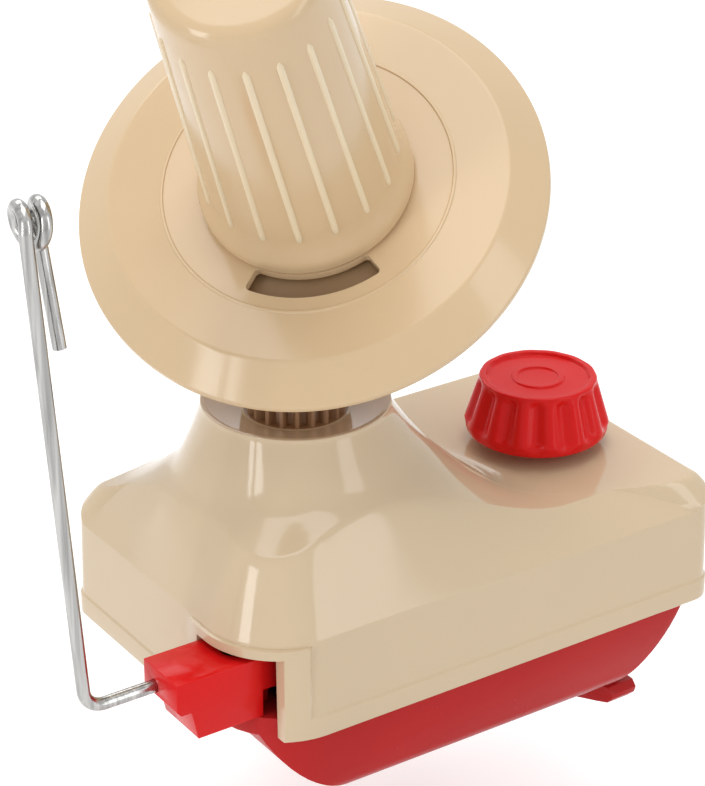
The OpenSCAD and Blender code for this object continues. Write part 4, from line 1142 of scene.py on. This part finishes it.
@dataclass
class YarnGuide(SubAssembly):
    """Guide block and its bent wire."""

    wire_r: float = 1.5
    wire_sides: int = 28
    block_x: float = -52.1
    pivot_y: float = -25.4
    wire_y: float = 2.6
    wire_z: float = 34.3
    bend_r: float = 5.0
    stub: float = 17.6
    stem: float = 114.0
    lean: float = 4.2
    eye_r: float = 4.25
    eye_pitch: float = 4.4
    eye_turns: float = 1.5
    tail: float = 29.0
    tail_way: Point = (0.07, -0.14, -1.0)

    def draw(self) -> None:
        """Refine the block and sweep the wire."""
        self.refine("guide_block", "guide", "red_plastic", 0.5)
        self.seat(self.wire(), "guide", "wire", "guide_wire")

    def path(self) -> List[Vector]:
        """Draw the wire's centre line.

        Returns:
            Its points from inside the block over the eye to the end of the tail.
        """
        y, z, lean = self.pivot_y + self.wire_y, self.wire_z, math.radians(self.lean)
        centre = Vector((self.block_x - self.stub + self.bend_r, y, z + self.bend_r))
        points = [Vector((self.block_x + 8, y, z)), Vector((self.block_x - 1, y, z))]
        for i in range(13):
            a = math.radians(270) - (math.radians(90) - lean) * i / 12
            points.append(centre + self.bend_r * Vector((math.cos(a), 0, math.sin(a))))
        stem = Vector((-math.sin(lean), 0, math.cos(lean)))
        start = centre + self.bend_r * Vector((-math.cos(lean), 0, -math.sin(lean)))
        eye = start + stem * (self.stem - self.bend_r) + Vector((0, self.eye_r, 0))
        length = self.eye_pitch * self.eye_turns
        for t in (i / 90 for i in range(91)):
            a = math.pi - math.tau * self.eye_turns * t
            points.append(eye + Vector((length * t, self.eye_r * math.cos(a), self.eye_r * math.sin(a))))
        last, down = eye + Vector((length, self.eye_r, 0)), Vector(self.tail_way)
        return points + [last + down * 5, last + down.normalized() * self.tail]

    def wire(self) -> Item:
        """Sweep a round section along the centre line.

        Returns:
            The finished wire.
        """
        path = self.path()
        line = new_object("wire_body", path, (), [(i, i + 1) for i in range(len(path) - 1)])
        tree = Shape("wire_sweep")
        radius, = tree.sizes("Radius")
        sides, = tree.sizes("Sides", kind="NodeSocketInt")
        curve = tree.add("GeometryNodeMeshToCurve", {"Mesh": tree.source["Geometry"]})
        obj = tree.grow(line, tree.sweep(curve, radius, sides), WIRE_STEEL, Radius=self.wire_r * MM,
                        Sides=self.wire_sides)
        return soften(clean(obj), 35.0)


# ---- studio ----


@dataclass
class Studio:
    """Camera, floor and lamps. The camera matches the photograph; its frame is 705 by 786.

    A lamp is (name, place and aim in millimetres, width and height in metres, watts).
    """

    eye: Point = (-302.84, -471.21, 357.20)
    right: Point = (0.82933, -0.55875, 0.00302)
    up: Point = (0.24374, 0.36663, 0.89787)
    ahead: Point = (0.50279, 0.74390, -0.44025)
    focal_px: float = 2734.6
    long_side_px: float = 786.0
    sensor: float = 36.0
    floor_z: float = -52.0
    floor_half: float = 2500.0
    floor_grey: float = 0.86
    floor_glow: float = 0.34
    world_soft: float = 0.64
    lamps: Tuple[tuple, ...] = (
        ("overhead", (60, 40, 1300), (0, 0, 80), (0.8, 1.1), 6.0),
        ("front", (430, -1060, 430), (0, 0, 60), (0.35, 1.0), 2.2),
        ("left", (-1150, -230, 330), (0, 0, 80), (0.3, 0.7), 3.4),
        ("back", (150, 900, 900), (0, 0, 80), (0.9, 0.5), 3.0))

    def camera(self) -> None:
        """Set up the camera at the photograph's place."""
        data = bpy.data.cameras.new("camera")
        data.sensor_width = self.sensor
        data.lens = self.focal_px * self.sensor / self.long_side_px
        data.clip_start, data.clip_end = 0.01, 20.0
        obj = link("camera", data)
        axes = Matrix((self.right, self.up, [-c for c in self.ahead])).transposed()
        obj.matrix_world = at(*self.eye) @ axes.to_4x4()
        bpy.context.scene.camera = obj

    def floor(self) -> None:
        """Lay a pale floor under the clamp; a glow for seen rays lifts it to white and keeps the shadow."""
        d, z = self.floor_half, self.floor_z
        obj = new_object("floor", [(-d, -d, z), (d, -d, z), (d, d, z), (-d, d, z)], [(0, 1, 2, 3)])
        mat = bpy.data.materials.new("floor_paper")
        mat.use_nodes = True
        nodes = Nodes(mat.node_tree)
        paper = nodes.tree.nodes["Principled BSDF"]
        nodes.fill(paper, {"Base Color": (*[self.floor_grey] * 3, 1), "Roughness": 0.9,
                           "Specular IOR Level": 0.1})
        glow = nodes.add("ShaderNodeEmission", {"Strength": nodes.product(nodes.seen(), self.floor_glow)})
        both = nodes.add("ShaderNodeAddShader", {0: paper.outputs[0], 1: glow})
        nodes.fill(nodes.tree.nodes["Material Output"], {"Surface": both})
        obj.data.materials.append(mat)

    def world(self) -> None:
        """Surround the scene with white for seen rays and with a milder level for the light."""
        world = bpy.data.worlds.new("studio")
        world.use_nodes = True
        nodes = Nodes(world.node_tree)
        white = (1, 1, 1, 1)
        soft = nodes.tree.nodes["Background"]
        nodes.fill(soft, {"Color": white, "Strength": self.world_soft})
        bright = nodes.add("ShaderNodeBackground", {"Color": white, "Strength": 1.0})
        blend = nodes.add("ShaderNodeMixShader", {"Fac": nodes.seen(), 1: soft.outputs[0], 2: bright})
        nodes.fill(nodes.tree.nodes["World Output"], {"Surface": blend})
        bpy.context.scene.world = world

    def hang(self, name: str, place_mm: Point, aim_mm: Point, size: Point2, watts: float) -> None:
        """Hang a rectangular soft lamp.

        Args:
            name: The lamp's name.
            place_mm: Where it hangs.
            aim_mm: The point that it faces.
            size: Width and height, in metres.
            watts: Its power.
        """
        data = bpy.data.lights.new(name, "AREA")
        data.shape, data.energy = "RECTANGLE", watts
        data.size, data.size_y = size
        obj = link(name, data)
        obj.location, obj.rotation_mode = Vector(place_mm) * MM, "QUATERNION"
        obj.rotation_quaternion = (Vector(aim_mm) - Vector(place_mm)).to_track_quat("-Z", "Y")

    def build(self) -> None:
        """Set up the whole studio."""
        self.camera()
        self.floor()
        self.world()
        for lamp in self.lamps:
            self.hang(*lamp)
        bpy.context.scene.view_settings.view_transform = "Standard"


def main() -> None:
    """Build the scene in order and report each piece."""
    logging.basicConfig(level=logging.INFO, format="%(name)s: %(message)s")
    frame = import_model()
    Studio().build()
    for group in (Case, WindingHead, Spool, Crank, TableClamp, YarnGuide):
        part = group(frame)
        part.build()
        for name, origin in part.made:
            mesh = bpy.data.objects[name].data
            log.info("%s: %s (%s), %d faces", group.__name__, name, origin.value, len(mesh.polygons))


if __name__ == "__main__":
    main()
